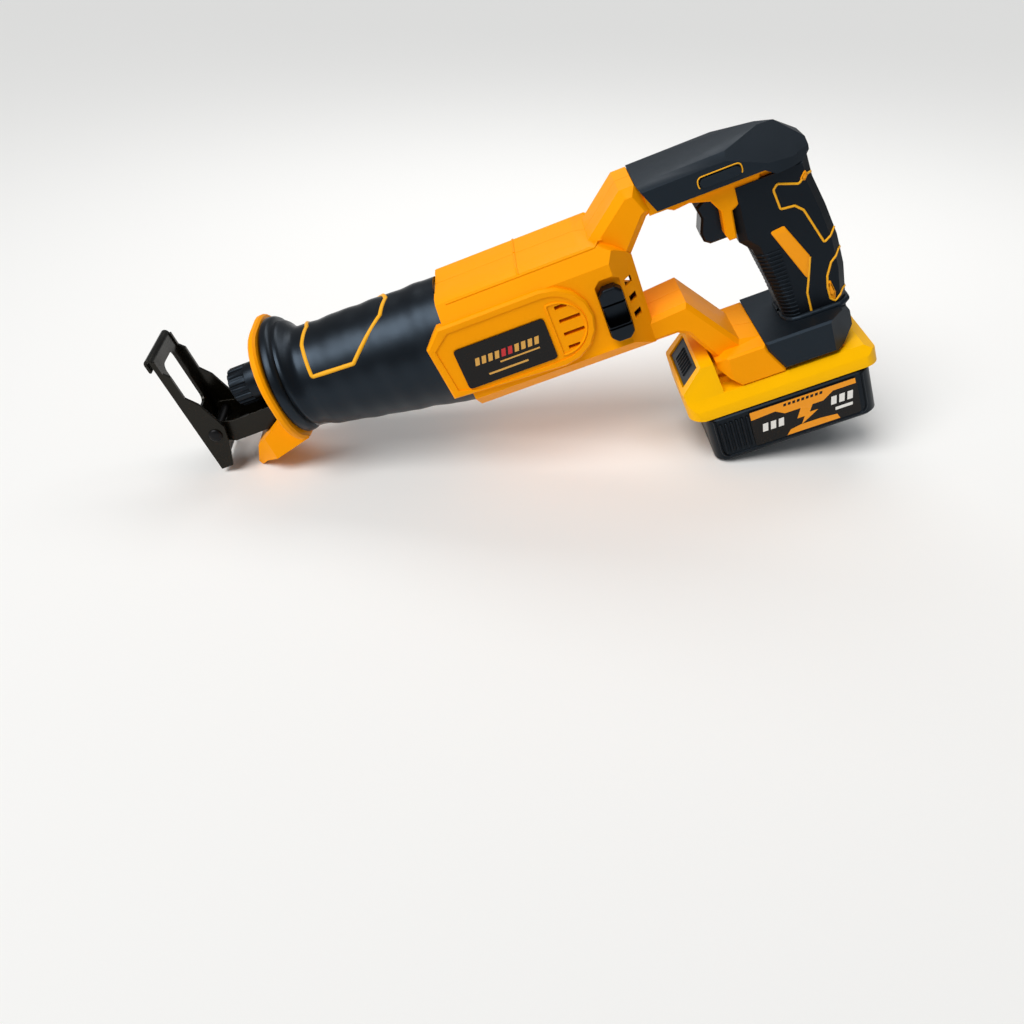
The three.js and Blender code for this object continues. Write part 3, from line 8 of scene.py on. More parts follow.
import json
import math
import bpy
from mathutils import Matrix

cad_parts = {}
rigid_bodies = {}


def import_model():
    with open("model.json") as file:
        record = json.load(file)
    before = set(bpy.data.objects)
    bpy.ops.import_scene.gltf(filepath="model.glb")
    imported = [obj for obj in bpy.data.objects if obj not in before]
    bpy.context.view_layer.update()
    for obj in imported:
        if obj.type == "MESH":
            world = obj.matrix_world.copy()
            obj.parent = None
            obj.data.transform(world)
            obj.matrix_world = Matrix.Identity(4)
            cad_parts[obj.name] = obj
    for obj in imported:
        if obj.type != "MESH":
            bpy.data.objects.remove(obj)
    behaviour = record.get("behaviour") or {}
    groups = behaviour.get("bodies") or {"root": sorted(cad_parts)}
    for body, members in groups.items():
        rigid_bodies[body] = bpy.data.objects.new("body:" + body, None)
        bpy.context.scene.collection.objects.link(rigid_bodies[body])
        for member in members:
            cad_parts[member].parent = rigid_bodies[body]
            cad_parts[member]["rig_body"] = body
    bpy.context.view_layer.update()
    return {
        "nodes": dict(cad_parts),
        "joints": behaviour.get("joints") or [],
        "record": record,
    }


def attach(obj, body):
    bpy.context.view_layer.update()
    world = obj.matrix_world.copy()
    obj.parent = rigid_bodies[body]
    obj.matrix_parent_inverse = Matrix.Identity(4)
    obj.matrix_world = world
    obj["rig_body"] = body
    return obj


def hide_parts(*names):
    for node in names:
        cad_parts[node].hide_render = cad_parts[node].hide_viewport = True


bl_info = {
    "name": "Reciprocating saw",
    "version": (1, 0, 0),
    "blender": (4, 5, 0),
    "location": "3D View > Sidebar > Saw",
    "description": "Builds the pieces and finishes of a cordless reciprocating saw",
    "category": "Object",
}

import bmesh
import bpy
from bpy.props import FloatProperty, FloatVectorProperty, PointerProperty, StringProperty
from mathutils import Matrix, Vector
from mathutils.bvhtree import BVHTree

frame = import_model()

# ------------------------------------------------------------------ the tool's frame
JOINTS = {joint["name"]: joint for joint in frame["joints"]}
MOUNTS = {mount["name"]: mount for mount in frame["record"]["mounts"]}
STROKE_AXIS = Vector(JOINTS["blade_stroke"]["axis"])
REST_TILT = math.atan2(STROKE_AXIS.z, STROKE_AXIS.x)
TURN = Matrix.Rotation(-REST_TILT, 4, "Y")
BASE_POINT_X = -8.0  # where the battery_base mount lies along the tool, in mm, on z = 0
TOOL_ORIGIN = Vector(MOUNTS["battery_base"]["pos_m"]) - TURN @ Vector((BASE_POINT_X * 0.001, 0, 0))
TOOL_TO_ROW = Matrix.Translation(TOOL_ORIGIN) @ TURN @ Matrix.Scale(0.001, 4)
ROW_TO_TOOL = TOOL_TO_ROW.inverted()


def tool_box(node):
    """Lowest and highest corner of a CAD node, in the tool's frame, in mm."""
    points = [ROW_TO_TOOL @ v.co for v in frame["nodes"][node].data.vertices]
    low = Vector(min(p[i] for p in points) for i in range(3))
    high = Vector(max(p[i] for p in points) for i in range(3))
    return low, high


HOUSING = tool_box("housing_left")
BOOT = tool_box("front_boot")
GRIP = tool_box("grip_rubber")
FOOT = tool_box("foot_cover")
PLATE = tool_box("name_plate_left")
SELECTOR = tool_box("selector_button")
LOCK = tool_box("lock_button")
LATCH = tool_box("battery_latch")
LOWER_CASE = tool_box("battery_lower_case")
BADGE = tool_box("battery_badge_left")
COLLAR = tool_box("clamp_collar")
RIVET = tool_box("shoe_rivet")
SHOE = tool_box("shoe_plate")
PLUNGER = tool_box("plunger")
STROKE_Z = (PLUNGER[0].z + PLUNGER[1].z) / 2
BODY_FRONT_X = BOOT[1].x + 0.3
PLATE_Y = abs(PLATE[0].y)  # how far out the name plates' faces lie
SIDES = ((-1, "left"), (1, "right"))
OUTSIDE = 90.0  # a ray that starts this far from the middle plane starts clear of the saw


# ------------------------------------------------------------------ settings
def colour(name, description, default):
    return StringProperty(name=name, description=description, default=default)


def millimetres(name, description, default, most):
    return FloatProperty(name=name, description=description, default=default, min=0, max=most)


def degrees(name, description, default):
    return FloatProperty(name=name, description=description, subtype="ANGLE", default=math.radians(default))


class SawColours(bpy.types.PropertyGroup):
    housing: colour("Housing", "sRGB hex of the moulded housing", "#FFA000")
    battery: colour("Battery shell", "sRGB hex of the battery's upper shell", "#FCBA00")
    trim: colour("Trim", "sRGB hex of the yellow decor lines", "#F7B01E")
    overmould: colour("Overmould", "sRGB hex of the handle and foot covers", "#12171C")
    rubber: colour("Rubber", "sRGB hex of the boot and the grip", "#090A0C")
    nylon: colour("Nylon", "sRGB hex of the black buttons", "#0A0A0B")
    lacquer: colour("Lacquer", "sRGB hex of the lacquered shoe", "#16130B")


class SawFinish(bpy.types.PropertyGroup):
    edge: millimetres("Edge radius", "Rounding of moulded edges, in mm", 1.0, 4.0)
    pressed_edge: millimetres("Pressed edge", "Rounding of pressed steel edges, in mm", 0.5, 1.5)
    ripple: millimetres("Boot ripple", "Depth of the boot's soft ripples, in mm", 0.3, 1.5)


class SawStage(bpy.types.PropertyGroup):
    eye: FloatVectorProperty(
        name="Eye", description="Camera position", subtype="TRANSLATION", unit="LENGTH", size=3,
        default=(-0.0333, -0.6053, 0.3888),
    )
    azimuth: degrees("Azimuth", "Heading of the view from +Y", 2.347)
    elevation: degrees("Elevation", "How far the view looks down", 36.874)
    roll: degrees("Roll", "Turn about the line of sight", -1.046)
    lens: FloatProperty(name="Lens", description="Focal length in mm on a 36 mm sensor", default=32.85)
    floor: colour("Floor", "sRGB hex of the floor", "#F1F1F0")


class SawSettings(bpy.types.PropertyGroup):
    colours: PointerProperty(type=SawColours)
    finish: PointerProperty(type=SawFinish)
    stage: PointerProperty(type=SawStage)


def settings():
    return bpy.context.scene.saw_settings


# ------------------------------------------------------------------ materials
COOL = "#C6E2FF"  # the tint black rubber and plastic give to a highlight


def linear(hex_code):
    """An sRGB hex colour as linear RGBA."""
    parts = [int(hex_code[i : i + 2], 16) / 255 for i in (1, 3, 5)]
    return tuple(c / 12.92 if c <= 0.04045 else ((c + 0.055) / 1.055) ** 2.4 for c in parts) + (1.0,)


def add(tree, kind, inputs=None, **attributes):
    """Adds a node. An input is a value or another node's output socket."""
    made = tree.nodes.new(kind)
    for name, value in attributes.items():
        setattr(made, name, value)
    for key, value in (inputs or {}).items():
        if isinstance(value, bpy.types.NodeSocket):
            tree.links.new(value, made.inputs[key])
        else:
            made.inputs[key].default_value = value
    return made


def blank_material(name):
    material = bpy.data.materials.new(name)
    material.use_nodes = True
    tree = material.node_tree
    shader = tree.nodes["Principled BSDF"]
    coords = add(tree, "ShaderNodeTexCoord")
    # Object coordinates are metres in the row's frame: this turns them back to millimetres along the tool.
    turned = add(tree, "ShaderNodeMapping", {
        "Vector": coords.outputs["Object"],
        "Rotation": (0, REST_TILT, 0),
        "Scale": (1000, 1000, 1000),
    })
    return material, tree, shader, turned.outputs["Vector"]


def noise(tree, where, scale, detail):
    """Noise over a place in millimetres, its scale in waves per millimetre."""
    return add(tree, "ShaderNodeTexNoise", {"Vector": where, "Scale": scale, "Detail": detail}).outputs["Fac"]


def glossed(tree, shader, value, low, high):
    """Lets a noise move the roughness from low to high."""
    gloss = add(tree, "ShaderNodeMapRange", {
        "Value": value, "From Min": 0.3, "From Max": 0.7, "To Min": low, "To Max": high,
    })
    tree.links.new(gloss.outputs["Result"], shader.inputs["Roughness"])


def bumped(tree, shader, height, strength, distance=0.0001):
    bump = add(tree, "ShaderNodeBump", {"Height": height, "Strength": strength, "Distance": distance})
    tree.links.new(bump.outputs["Normal"], shader.inputs["Normal"])


def moulded(name, hex_code, roughness, grain_mm, grain_depth,
            shift=0.06, coat=0.0, level=0.3, sheen="#FFFFFF"):
    """A moulded polymer: a spark-eroded mould leaves a fine even grain, and the colour drifts a little."""
    material, tree, shader, where = blank_material(name)
    base = Vector(linear(hex_code)[:3])
    tone = add(tree, "ShaderNodeMix", {
        "Factor": noise(tree, where, 1 / 45, 3.0),
        "A": (*(base * (1 - shift)), 1),
        "B": (*(base * (1 + shift)), 1),
    }, data_type="RGBA")
    tree.links.new(tone.outputs["Result"], shader.inputs["Base Color"])
    glossed(tree, shader, noise(tree, where, 1 / 18, 4.0), roughness - 0.05, roughness + 0.05)
    bumped(tree, shader, noise(tree, where, 1 / grain_mm, 2.0), grain_depth)
    shader.inputs["Specular IOR Level"].default_value = level
    shader.inputs["Specular Tint"].default_value = linear(sheen)
    shader.inputs["Coat Weight"].default_value = coat
    return material


def metal(name, hex_code, roughness, stretch, depth, metallic):
    """A worked metal: noise drawn out along the tool is the mark of grinding, turning or rolling."""
    material, tree, shader, where = blank_material(name)
    shader.inputs["Base Color"].default_value = linear(hex_code)
    shader.inputs["Metallic"].default_value = metallic
    drawn = add(tree, "ShaderNodeMapping", {"Vector": where, "Scale": stretch})
    marks = noise(tree, drawn.outputs["Vector"], 1.0, 5.0)
    glossed(tree, shader, marks, roughness - 0.07, roughness + 0.09)
    bumped(tree, shader, marks, depth)
    return material


def make_finishes():
    """Every finish on the saw, by name."""
    tint = settings().colours
    # Each row is colour, roughness, grain in mm and grain depth, then what sets the finish apart.
    polymers = {
        # Glass-filled nylon housing: satin, its even grain a little coarse so that it shows.
        "housing_nylon": (tint.housing, 0.46, 0.5, 0.18, {"level": 0.16, "sheen": "#FFD890"}),
        # The battery's shell is a lemon shade and a little glossier.
        "battery_nylon": (tint.battery, 0.40, 0.5, 0.14, {"level": 0.2, "sheen": "#FFE39A"}),
        # Yellow trim moulded flush into the rubber, smooth.
        "trim_tpe": (tint.trim, 0.4, 0.6, 0.06, {"level": 0.2}),
        # Orange inlay of the grip: the housing's own plastic, polished.
        "inlay_nylon": (tint.housing, 0.36, 0.6, 0.06, {"level": 0.2}),
        # Blue-grey soft overmould with a dry, fine grained skin.
        "overmould_tpe": (tint.overmould, 0.46, 0.45, 0.22, {"shift": 0.12, "level": 0.32, "sheen": COOL}),
        # Thick boot rubber: smooth and slightly oily, so it takes long soft highlights.
        "boot_rubber": (tint.rubber, 0.36, 1.6, 0.10, {"shift": 0.15, "level": 0.42, "sheen": COOL}),
        "grip_rubber": (tint.rubber, 0.46, 0.5, 0.25, {"shift": 0.12, "level": 0.26, "sheen": COOL}),
        # Black nylon buttons, a tighter gloss than the rubber.
        "black_nylon": (tint.nylon, 0.33, 0.4, 0.16, {"shift": 0.10, "sheen": COOL}),
        "case_abs": ("#090A0B", 0.38, 0.5, 0.20, {"shift": 0.10, "level": 0.26, "sheen": COOL}),
        # Printed polycarbonate labels under a varnish.
        "label_print": ("#0B0807", 0.26, 3.0, 0.02, {"coat": 0.08, "level": 0.2}),
        "gold_print": ("#D8A24A", 0.3, 2.0, 0.02, {"coat": 0.1}),
        "red_print": ("#C3262B", 0.3, 2.0, 0.02, {"coat": 0.1}),
        "white_print": ("#E9E7E2", 0.3, 2.0, 0.02, {"coat": 0.1}),
        "orange_print": ("#F59A06", 0.3, 2.0, 0.02, {"coat": 0.1}),
        "cell_wrap": ("#2C8A78", 0.3, 2.0, 0.05, {}),
        "solder_mask": ("#1B5A36", 0.35, 1.0, 0.08, {}),
    }
    # Each row is colour, roughness, how the marks are stretched, their depth and how metallic it is.
    metals = {
        # Pressed steel under black lacquer, which pools into a bronze-tinted gloss.
        "lacquered_steel": (tint.lacquer, 0.22, (0.05, 0.05, 0.05), 0.10, 0.55),
        "ground_steel": ("#B4B6B8", 0.28, (0.08, 3.0, 3.0), 0.12, 1.0),
        "blackened_steel": ("#1A1A1C", 0.38, (0.4, 0.4, 0.4), 0.15, 0.8),
        "cast_aluminium": ("#9DA0A3", 0.48, (0.9, 0.9, 0.9), 0.35, 1.0),
        "sintered_bronze": ("#A67C43", 0.42, (2.5, 2.5, 2.5), 0.2, 1.0),
        "drawn_copper": ("#B66E3E", 0.32, (0.2, 2.0, 2.0), 0.15, 1.0),
    }
    made = {name: moulded(name, *row[:4], **row[4]) for name, row in polymers.items()}
    made.update({name: metal(name, *row) for name, row in metals.items()})
    return made


# The material made for each finish, by the finish's name.
FINISHES = {}


# ------------------------------------------------------------------ mesh helpers
def baked(obj):
    """Replaces the object's mesh by the result of its modifiers."""
    graph = bpy.context.evaluated_depsgraph_get()
    result = bpy.data.meshes.new_from_object(obj.evaluated_get(graph))
    obj.modifiers.clear()
    obj.data = result
    return obj


def linked(name, data):
    made = bpy.data.objects.new(name, data)
    bpy.context.scene.collection.objects.link(made)
    return made


def as_object(shape, name):
    """A bmesh as an object. The bmesh is used up."""
    bmesh.ops.recalc_face_normals(shape, faces=shape.faces)
    mesh = bpy.data.meshes.new(name)
    shape.to_mesh(mesh)
    shape.free()
    return linked(name, mesh)


def rounded(obj, radius, segments=3, angle=28):
    """Rounds the sharp edges of an object and bakes the result."""
    bevel = obj.modifiers.new("round", "BEVEL")
    bevel.width = radius
    bevel.segments = segments
    bevel.limit_method = "ANGLE"
    bevel.angle_limit = math.radians(angle)
    return baked(obj)


def cut(base, tool):
    """Cuts tool, which is used up, out of base."""
    change = base.modifiers.new("cut", "BOOLEAN")
    change.operation = "DIFFERENCE"
    change.solver = "EXACT"
    change.object = tool
    baked(base)
    bpy.data.objects.remove(tool)


def place(obj, finish, body, replaces=(), crease=35):
    """Turns a finished object from tool millimetres into the row's frame and hangs it on its body."""
    obj.data.transform(TOOL_TO_ROW)
    obj.data.materials.clear()
    obj.data.materials.append(FINISHES[finish])
    for face in obj.data.polygons:
        face.material_index = 0
        face.use_smooth = True
    obj.data.update()
    edge_marks = bmesh.new()
    edge_marks.from_mesh(obj.data)
    for edge in edge_marks.edges:
        if len(edge.link_faces) == 2:
            edge.smooth = edge.calc_face_angle(0) < math.radians(crease)
    edge_marks.to_mesh(obj.data)
    edge_marks.free()
    weigh = obj.modifiers.new("flat_faces_lead", "WEIGHTED_NORMAL")
    weigh.keep_sharp = True
    weigh.weight = 50
    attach(obj, body)
    if replaces:
        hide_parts(*replaces)
    return obj


def merged_copy(node, name):
    """A CAD node's shape in tool millimetres, its triangles joined into flat faces."""
    shape = bmesh.new()
    shape.from_mesh(frame["nodes"][node].data)
    bmesh.ops.transform(shape, matrix=ROW_TO_TOOL, verts=shape.verts)
    bmesh.ops.remove_doubles(shape, verts=shape.verts, dist=0.02)
    bmesh.ops.dissolve_limit(
        shape, angle_limit=math.radians(1.5), verts=shape.verts, edges=shape.edges, delimit={"NORMAL"})
    mesh = bpy.data.meshes.new(name)
    shape.to_mesh(mesh)
    shape.free()
    return linked(name, mesh)


def refined(node, name, finish, radius, segments=3):
    """A CAD node with its edges rounded as the real piece's are."""
    made = rounded(merged_copy(node, name), radius, segments)
    return place(made, finish, frame["nodes"][node]["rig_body"], [node])


def prism(outline, from_depth, to_depth, axis="y", into=None):
    """A bmesh prism. The outline lists [x, z] for a prism along y and [y, z] for one along x."""
    shape = bmesh.new() if into is None else into
    ends = []
    for depth in sorted((from_depth, to_depth)):
        ends.append([shape.verts.new((a, depth, b) if axis == "y" else (depth, a, b)) for a, b in outline])
    shape.faces.new(ends[0])
    shape.faces.new(reversed(ends[1]))
    for i in range(len(outline)):
        j = (i + 1) % len(outline)
        shape.faces.new((ends[0][i], ends[0][j], ends[1][j], ends[1][i]))
    return shape


def loft(rings, closed=False):
    """A skin through rings of points. A closed loft joins its last ring to its first, others get ends."""
    shape = bmesh.new()
    made = [[shape.verts.new(p) for p in ring] for ring in rings]
    count = len(rings[0])
    following = made[1:] + made[:1] if closed else made[1:]
    for first, second in zip(made, following):
        for i in range(count):
            j = (i + 1) % count
            shape.faces.new((first[i], first[j], second[j], second[i]))
    if not closed:
        shape.faces.new(made[0])
        shape.faces.new(reversed(made[-1]))
    return shape


def revolve(profile, centre, axis="x", steps=48):
    """A turned bmesh: the profile lists [radius, place along the axis] off the axis, and closes on itself."""
    rings = []
    for k in range(steps):
        a = 2 * math.pi * k / steps
        ring = []
        for r, h in profile:
            across, up = r * math.cos(a), r * math.sin(a)
            ring.append(Vector((h, across, up) if axis == "x" else (across, h, up)) + Vector(centre))
        rings.append(ring)
    return loft(rings, closed=True)


def arc(centre, radius, start, end, steps):
    """Points on an arc from one angle to another, in radians."""
    points = []
    for k in range(steps + 1):
        a = start + (end - start) * k / steps
        points.append((centre[0] + radius * math.cos(a), centre[1] + radius * math.sin(a)))
    return points


def rounded_outline(points, radius, steps=5):
    """A closed outline with each corner turned into an arc."""
    result = []
    count = len(points)
    for i, here in enumerate(points):
        here = Vector(here)
        before = Vector(points[i - 1]) - here
        after = Vector(points[(i + 1) % count]) - here
        angle = before.angle(after)
        reach = min(radius / math.tan(angle / 2), before.length * 0.49, after.length * 0.49)
        start = here + before.normalized() * reach
        end = here + after.normalized() * reach
        for k in range(steps + 1):
            t = k / steps
            result.append(tuple(start * (1 - t) ** 2 + here * 2 * t * (1 - t) + end * t * t))
    return result


# ------------------------------------------------------------------ geometry nodes
def new_tree(name, numbers):
    """A geometry node group with a geometry input and output, number inputs and a material input."""
    tree = bpy.data.node_groups.new(name, "GeometryNodeTree")
    face = tree.interface
    face.new_socket("Geometry", in_out="INPUT", socket_type="NodeSocketGeometry")
    for label, value in numbers.items():
        kind = "NodeSocketInt" if isinstance(value, int) else "NodeSocketFloat"
        face.new_socket(label, in_out="INPUT", socket_type=kind).default_value = value
    face.new_socket("Material", in_out="INPUT", socket_type="NodeSocketMaterial")
    face.new_socket("Geometry", in_out="OUTPUT", socket_type="NodeSocketGeometry")
    return tree, tree.nodes.new("NodeGroupInput").outputs, tree.nodes.new("NodeGroupOutput")


def finish_tree(tree, group_in, group_out, geometry):
    real = add(tree, "GeometryNodeRealizeInstances", {"Geometry": geometry})
    painted = add(tree, "GeometryNodeSetMaterial", {
        "Geometry": real.outputs["Geometry"], "Material": group_in["Material"],
    })
    tree.links.new(painted.outputs["Geometry"], group_out.inputs["Geometry"])


def piping_tree():
    """Round piping along every path of edges, with its corners filleted."""
    tree, given, out = new_tree("piping", {"Radius": 0.8, "Fillet": 2.0, "Sides": 10})
    path = add(tree, "GeometryNodeMeshToCurve", {"Mesh": given["Geometry"]})
    corner = add(tree, "GeometryNodeFilletCurve", {
        "Curve": path.outputs["Curve"], "Radius": given["Fillet"], "Count": 4, "Limit Radius": True,
    }, mode="POLY")
    round_section = add(tree, "GeometryNodeCurvePrimitiveCircle", {
        "Resolution": given["Sides"], "Radius": given["Radius"],
    })
    tube = add(tree, "GeometryNodeCurveToMesh", {
        "Curve": corner.outputs["Curve"], "Profile Curve": round_section.outputs["Curve"], "Fill Caps": True,
    })
    finish_tree(tree, given, out, tube.outputs["Mesh"])
    return tree


def ring_tree():
    """Copies of the given mesh in equal turns round the X axis."""
    tree, given, out = new_tree("turns", {"Count": 12})
    dots = add(tree, "GeometryNodePoints", {"Count": given["Count"]})
    number = add(tree, "GeometryNodeInputIndex")
    share = add(tree, "ShaderNodeMath", {0: number.outputs["Index"], 1: given["Count"]}, operation="DIVIDE")
    angle = add(tree, "ShaderNodeMath", {0: share.outputs["Value"], 1: 2 * math.pi}, operation="MULTIPLY")
    turn = add(tree, "ShaderNodeCombineXYZ", {"X": angle.outputs["Value"]})
    copies = add(tree, "GeometryNodeInstanceOnPoints", {
        "Points": dots.outputs["Points"], "Instance": given["Geometry"], "Rotation": turn.outputs["Vector"],
    })
    finish_tree(tree, given, out, copies.outputs["Instances"])
    return tree


def row_tree():
    """Copies of the given mesh in a row, a step apart."""
    tree, given, out = new_tree("row", {"Count": 5, "Step X": 0.0, "Step Y": 0.0})
    step = add(tree, "ShaderNodeCombineXYZ", {"X": given["Step X"], "Y": given["Step Y"]})
    dots = add(tree, "GeometryNodePoints", {"Count": given["Count"]})
    number = add(tree, "GeometryNodeInputIndex")
    reach = add(tree, "ShaderNodeVectorMath", {
        0: step.outputs["Vector"], "Scale": number.outputs["Index"],
    }, operation="SCALE")
    moved = add(tree, "GeometryNodeSetPosition", {
        "Geometry": dots.outputs["Points"], "Position": reach.outputs["Vector"],
    })
    copies = add(tree, "GeometryNodeInstanceOnPoints", {
        "Points": moved.outputs["Geometry"], "Instance": given["Geometry"],
    })
    finish_tree(tree, given, out, copies.outputs["Instances"])
    return tree


TREES = {}


def grown(obj, tree_name, finish, values):
    """Runs a tree on an object in tool millimetres and bakes its result."""
    if tree_name not in TREES:
        TREES[tree_name] = {"piping": piping_tree, "turns": ring_tree, "row": row_tree}[tree_name]()
    nodes = obj.modifiers.new(tree_name, "NODES")
    nodes.node_group = TREES[tree_name]
    given = {**values, "Material": FINISHES[finish]}
    for item in TREES[tree_name].interface.items_tree:
        if item.in_out == "INPUT" and item.name in given:
            nodes[item.identifier] = given[item.name]
    return baked(obj)


def piping(name, paths, finish, body, radius, fillet=2.0, sides=8):
    """Piping along each path, a list of points in tool millimetres."""
    mesh = bpy.data.meshes.new(name)
    points = []
    edges = []
    for path in paths:
        first = len(points)
        points.extend(path)
        edges.extend((first + i, first + i + 1) for i in range(len(path) - 1))
    mesh.from_pydata(points, edges, [])
    tube = grown(linked(name, mesh), "piping", finish, {"Radius": radius, "Fillet": fillet, "Sides": sides})
    return place(tube, finish, body, crease=50)


# ------------------------------------------------------------------ base class
class SawOperator:
    bl_options = {"REGISTER", "UNDO"}

    def execute(self, context):
        self.build(settings())
        return {"FINISHED"}


# ------------------------------------------------------------------ surfaces to lay things on
SKINS = {}


def skin_of(node):
    """A search tree of a CAD node's surface, in tool millimetres."""
    if node not in SKINS:
        shape = bmesh.new()
        shape.from_mesh(frame["nodes"][node].data)
        bmesh.ops.transform(shape, matrix=ROW_TO_TOOL, verts=shape.verts)
        SKINS[node] = BVHTree.FromBMesh(shape)
        shape.free()
    return SKINS[node]


def landed(skin, start, direction, lift=0.0):
    """Where a ray from start meets a skin, moved out along the skin's normal by lift. None if it misses."""
    point, normal, _, _ = skin.ray_cast(Vector(start), Vector(direction).normalized())
    if point is None:
        return None
    if normal.dot(Vector(direction)) > 0:
        normal = -normal
    return point + normal * lift


def stepped(path, step):
    """A path with points added along it, about a step apart."""
    points = []
    for (x0, z0), (x1, z1) in zip(path, path[1:]):
        count = max(1, round(math.hypot(x1 - x0, z1 - z0) / step))
        points.extend((x0 + (x1 - x0) * k / count, z0 + (z1 - z0) * k / count) for k in range(count))
    return points + [path[-1]]


def draped(skin, path, side, step):
    """A path of [x, z] laid on one side of a skin, in points about a step apart."""
    found = [landed(skin, (x, side * OUTSIDE, z), (0, -side, 0)) for x, z in stepped(path, step)]
    return [tuple(p) for p in found if p is not None]


def ringed(skin, middle, start, end, steps, lift=0.0):
    """Where level rays in to a middle point meet a skin, from one heading to another, in degrees."""
    found = []
    for k in range(steps + 1):
        a = math.radians(start + (end - start) * k / steps)
        out = Vector((math.cos(a), math.sin(a), 0))
        found.append(landed(skin, middle + out * OUTSIDE, -out, lift))
    return [tuple(p) for p in found if p is not None]


def crowned_patch(skin, outline, rise, side):
    """A closed patch that follows a skin: its rim is sunk, and it crowns over a soft edge to its rise."""
    sink, soft = 1.2, 1.0
    middle = sum((Vector(p) for p in outline), Vector((0, 0))) / len(outline)
    reach = min((Vector(p) - middle).length for p in outline)
    levels = [(1.0, -sink), (1.0, rise * 0.35),
              (1 - soft * 0.35 / reach, rise * 0.8), (1 - soft / reach, rise)]
    levels += [(share, rise) for share in (0.75, 0.5, 0.25, 0.05)]
    rings = []
    for share, lift in levels:
        ring = [middle + (Vector(p) - middle) * share for p in outline]
        rings.append([landed(skin, (x, side * OUTSIDE, z), (0, -side, 0), lift) for x, z in ring])
    return loft(rings)


def panel_outline(inset):
    """The side panel's outline, drawn in by an inset: a pointed nose, straight sides and a round rear."""
    low, high = PLATE[0].z - 8.5 + inset, PLATE[1].z + 18.5 - inset
    nose = BODY_FRONT_X - 16 + inset
    front = [(nose + 12, high), (nose, high - 12 + inset * 0.5), (nose + 3, low + 5), (nose + 20, low)]
    rear = (PLATE[1].x + 3, (low + high) / 2)
    return front + arc(rear, (high - low) / 2, -math.pi / 2, math.pi / 2, 12)


# ------------------------------------------------------------------ operators
class SAW_OT_stage(SawOperator, bpy.types.Operator):
    """Lays the floor, sets the soft lights and places the camera"""

    bl_idname = "saw.stage"
    bl_label = "Stage"

    def build(self, given):
        stage = given.stage
        world = bpy.data.worlds.new("studio")
        world.use_nodes = True
        sky = world.node_tree.nodes["Background"]
        sky.inputs["Color"].default_value = (0.90, 0.95, 1.0, 1)
        sky.inputs["Strength"].default_value = 0.22
        bpy.context.scene.world = world
        self.floor(stage)
        self.lamp("window", "SUN", (-0.55, -0.45, 1.1), 2.45, angle=math.radians(38))
        self.lamp("softbox", "AREA", (0.15, 0.55, 0.85), 3.4, shape="RECTANGLE", size=1.0, size_y=0.35)
        self.lamp("side_panel", "AREA", (-0.85, -0.55, 0.6), 1.3, shape="RECTANGLE", size=0.5, size_y=0.6)
        camera = bpy.data.cameras.new("camera")
        camera.lens = stage.lens
        camera.sensor_width = 36
        camera.clip_start = 0.01
        holder = linked("camera", camera)
        tilt = Matrix.Rotation(math.pi / 2 - stage.elevation, 4, "X")
        level = Matrix.Rotation(-stage.azimuth, 4, "Z") @ tilt
        holder.matrix_world = Matrix.Translation(stage.eye) @ level @ Matrix.Rotation(stage.roll, 4, "Z")
        bpy.context.scene.camera = holder
        bpy.context.scene.view_settings.view_transform = "Standard"

    def lamp(self, name, kind, place_m, energy, **shape):
        light = bpy.data.lights.new(name, kind)
        light.energy = energy
        light.color = (1.0, 0.985, 0.965)
        for key, value in shape.items():
            setattr(light, key, value)
        holder = linked(name, light)
        holder.location = place_m
        aim = Vector((0, 0, 0.11)) - Vector(place_m)
        holder.rotation_euler = aim.to_track_quat("-Z", "Y").to_euler()

    def floor(self, stage):
        mesh = bpy.data.meshes.new("floor")
        mesh.from_pydata([(-9, -6, 0), (9, -6, 0), (9, 14, 0), (-9, 14, 0)], [], [(0, 1, 2, 3)])
        floor = linked("floor", mesh)
        # Seamless paper: matt white with a faint fibre.
        material, tree, shader, where = blank_material("backdrop_paper")
        shader.inputs["Base Color"].default_value = linear(stage.floor)
        shader.inputs["Roughness"].default_value = 0.9
        bumped(tree, shader, noise(tree, where, 0.6, 3.0), 0.05, 0.0002)
        mesh.materials.append(material)


INNER_FINISHES = {
    "ground_steel": [
        "plunger", "gear_post", "gear_bearing", "crank_gear", "crank_roller", "pinion", "armature_shaft",
        "front_bearing", "rear_bearing", "counterweight", "clamp_spring", "trigger_spring", "yoke",
        "clamp_pin",
    ],
    "blackened_steel": ["blade_clamp", "armature", "motor_can", "magnet_ring"],
    "cast_aluminium": ["gear_case", "gear_cover"],
    "sintered_bronze": ["front_bush", "rear_bush"],
    "drawn_copper": ["commutator"],
    "cell_wrap": ["battery_cells"],
    "solder_mask": ["battery_board", "speed_controller"],
    "black_nylon": [
        "plunger_seal", "fan", "brush_left", "brush_right", "motor_cap", "switch_module", "contact_block",
    ],
}


class SAW_OT_inside(SawOperator, bpy.types.Operator):
    """Gives the motor, gears, plunger and cells their finishes"""

    bl_idname = "saw.inside"
    bl_label = "Inside"

    def build(self, given):
        for finish, nodes in INNER_FINISHES.items():
            for node in nodes:
                slots = frame["nodes"][node].data.materials
                slots.clear()
                slots.append(FINISHES[finish])


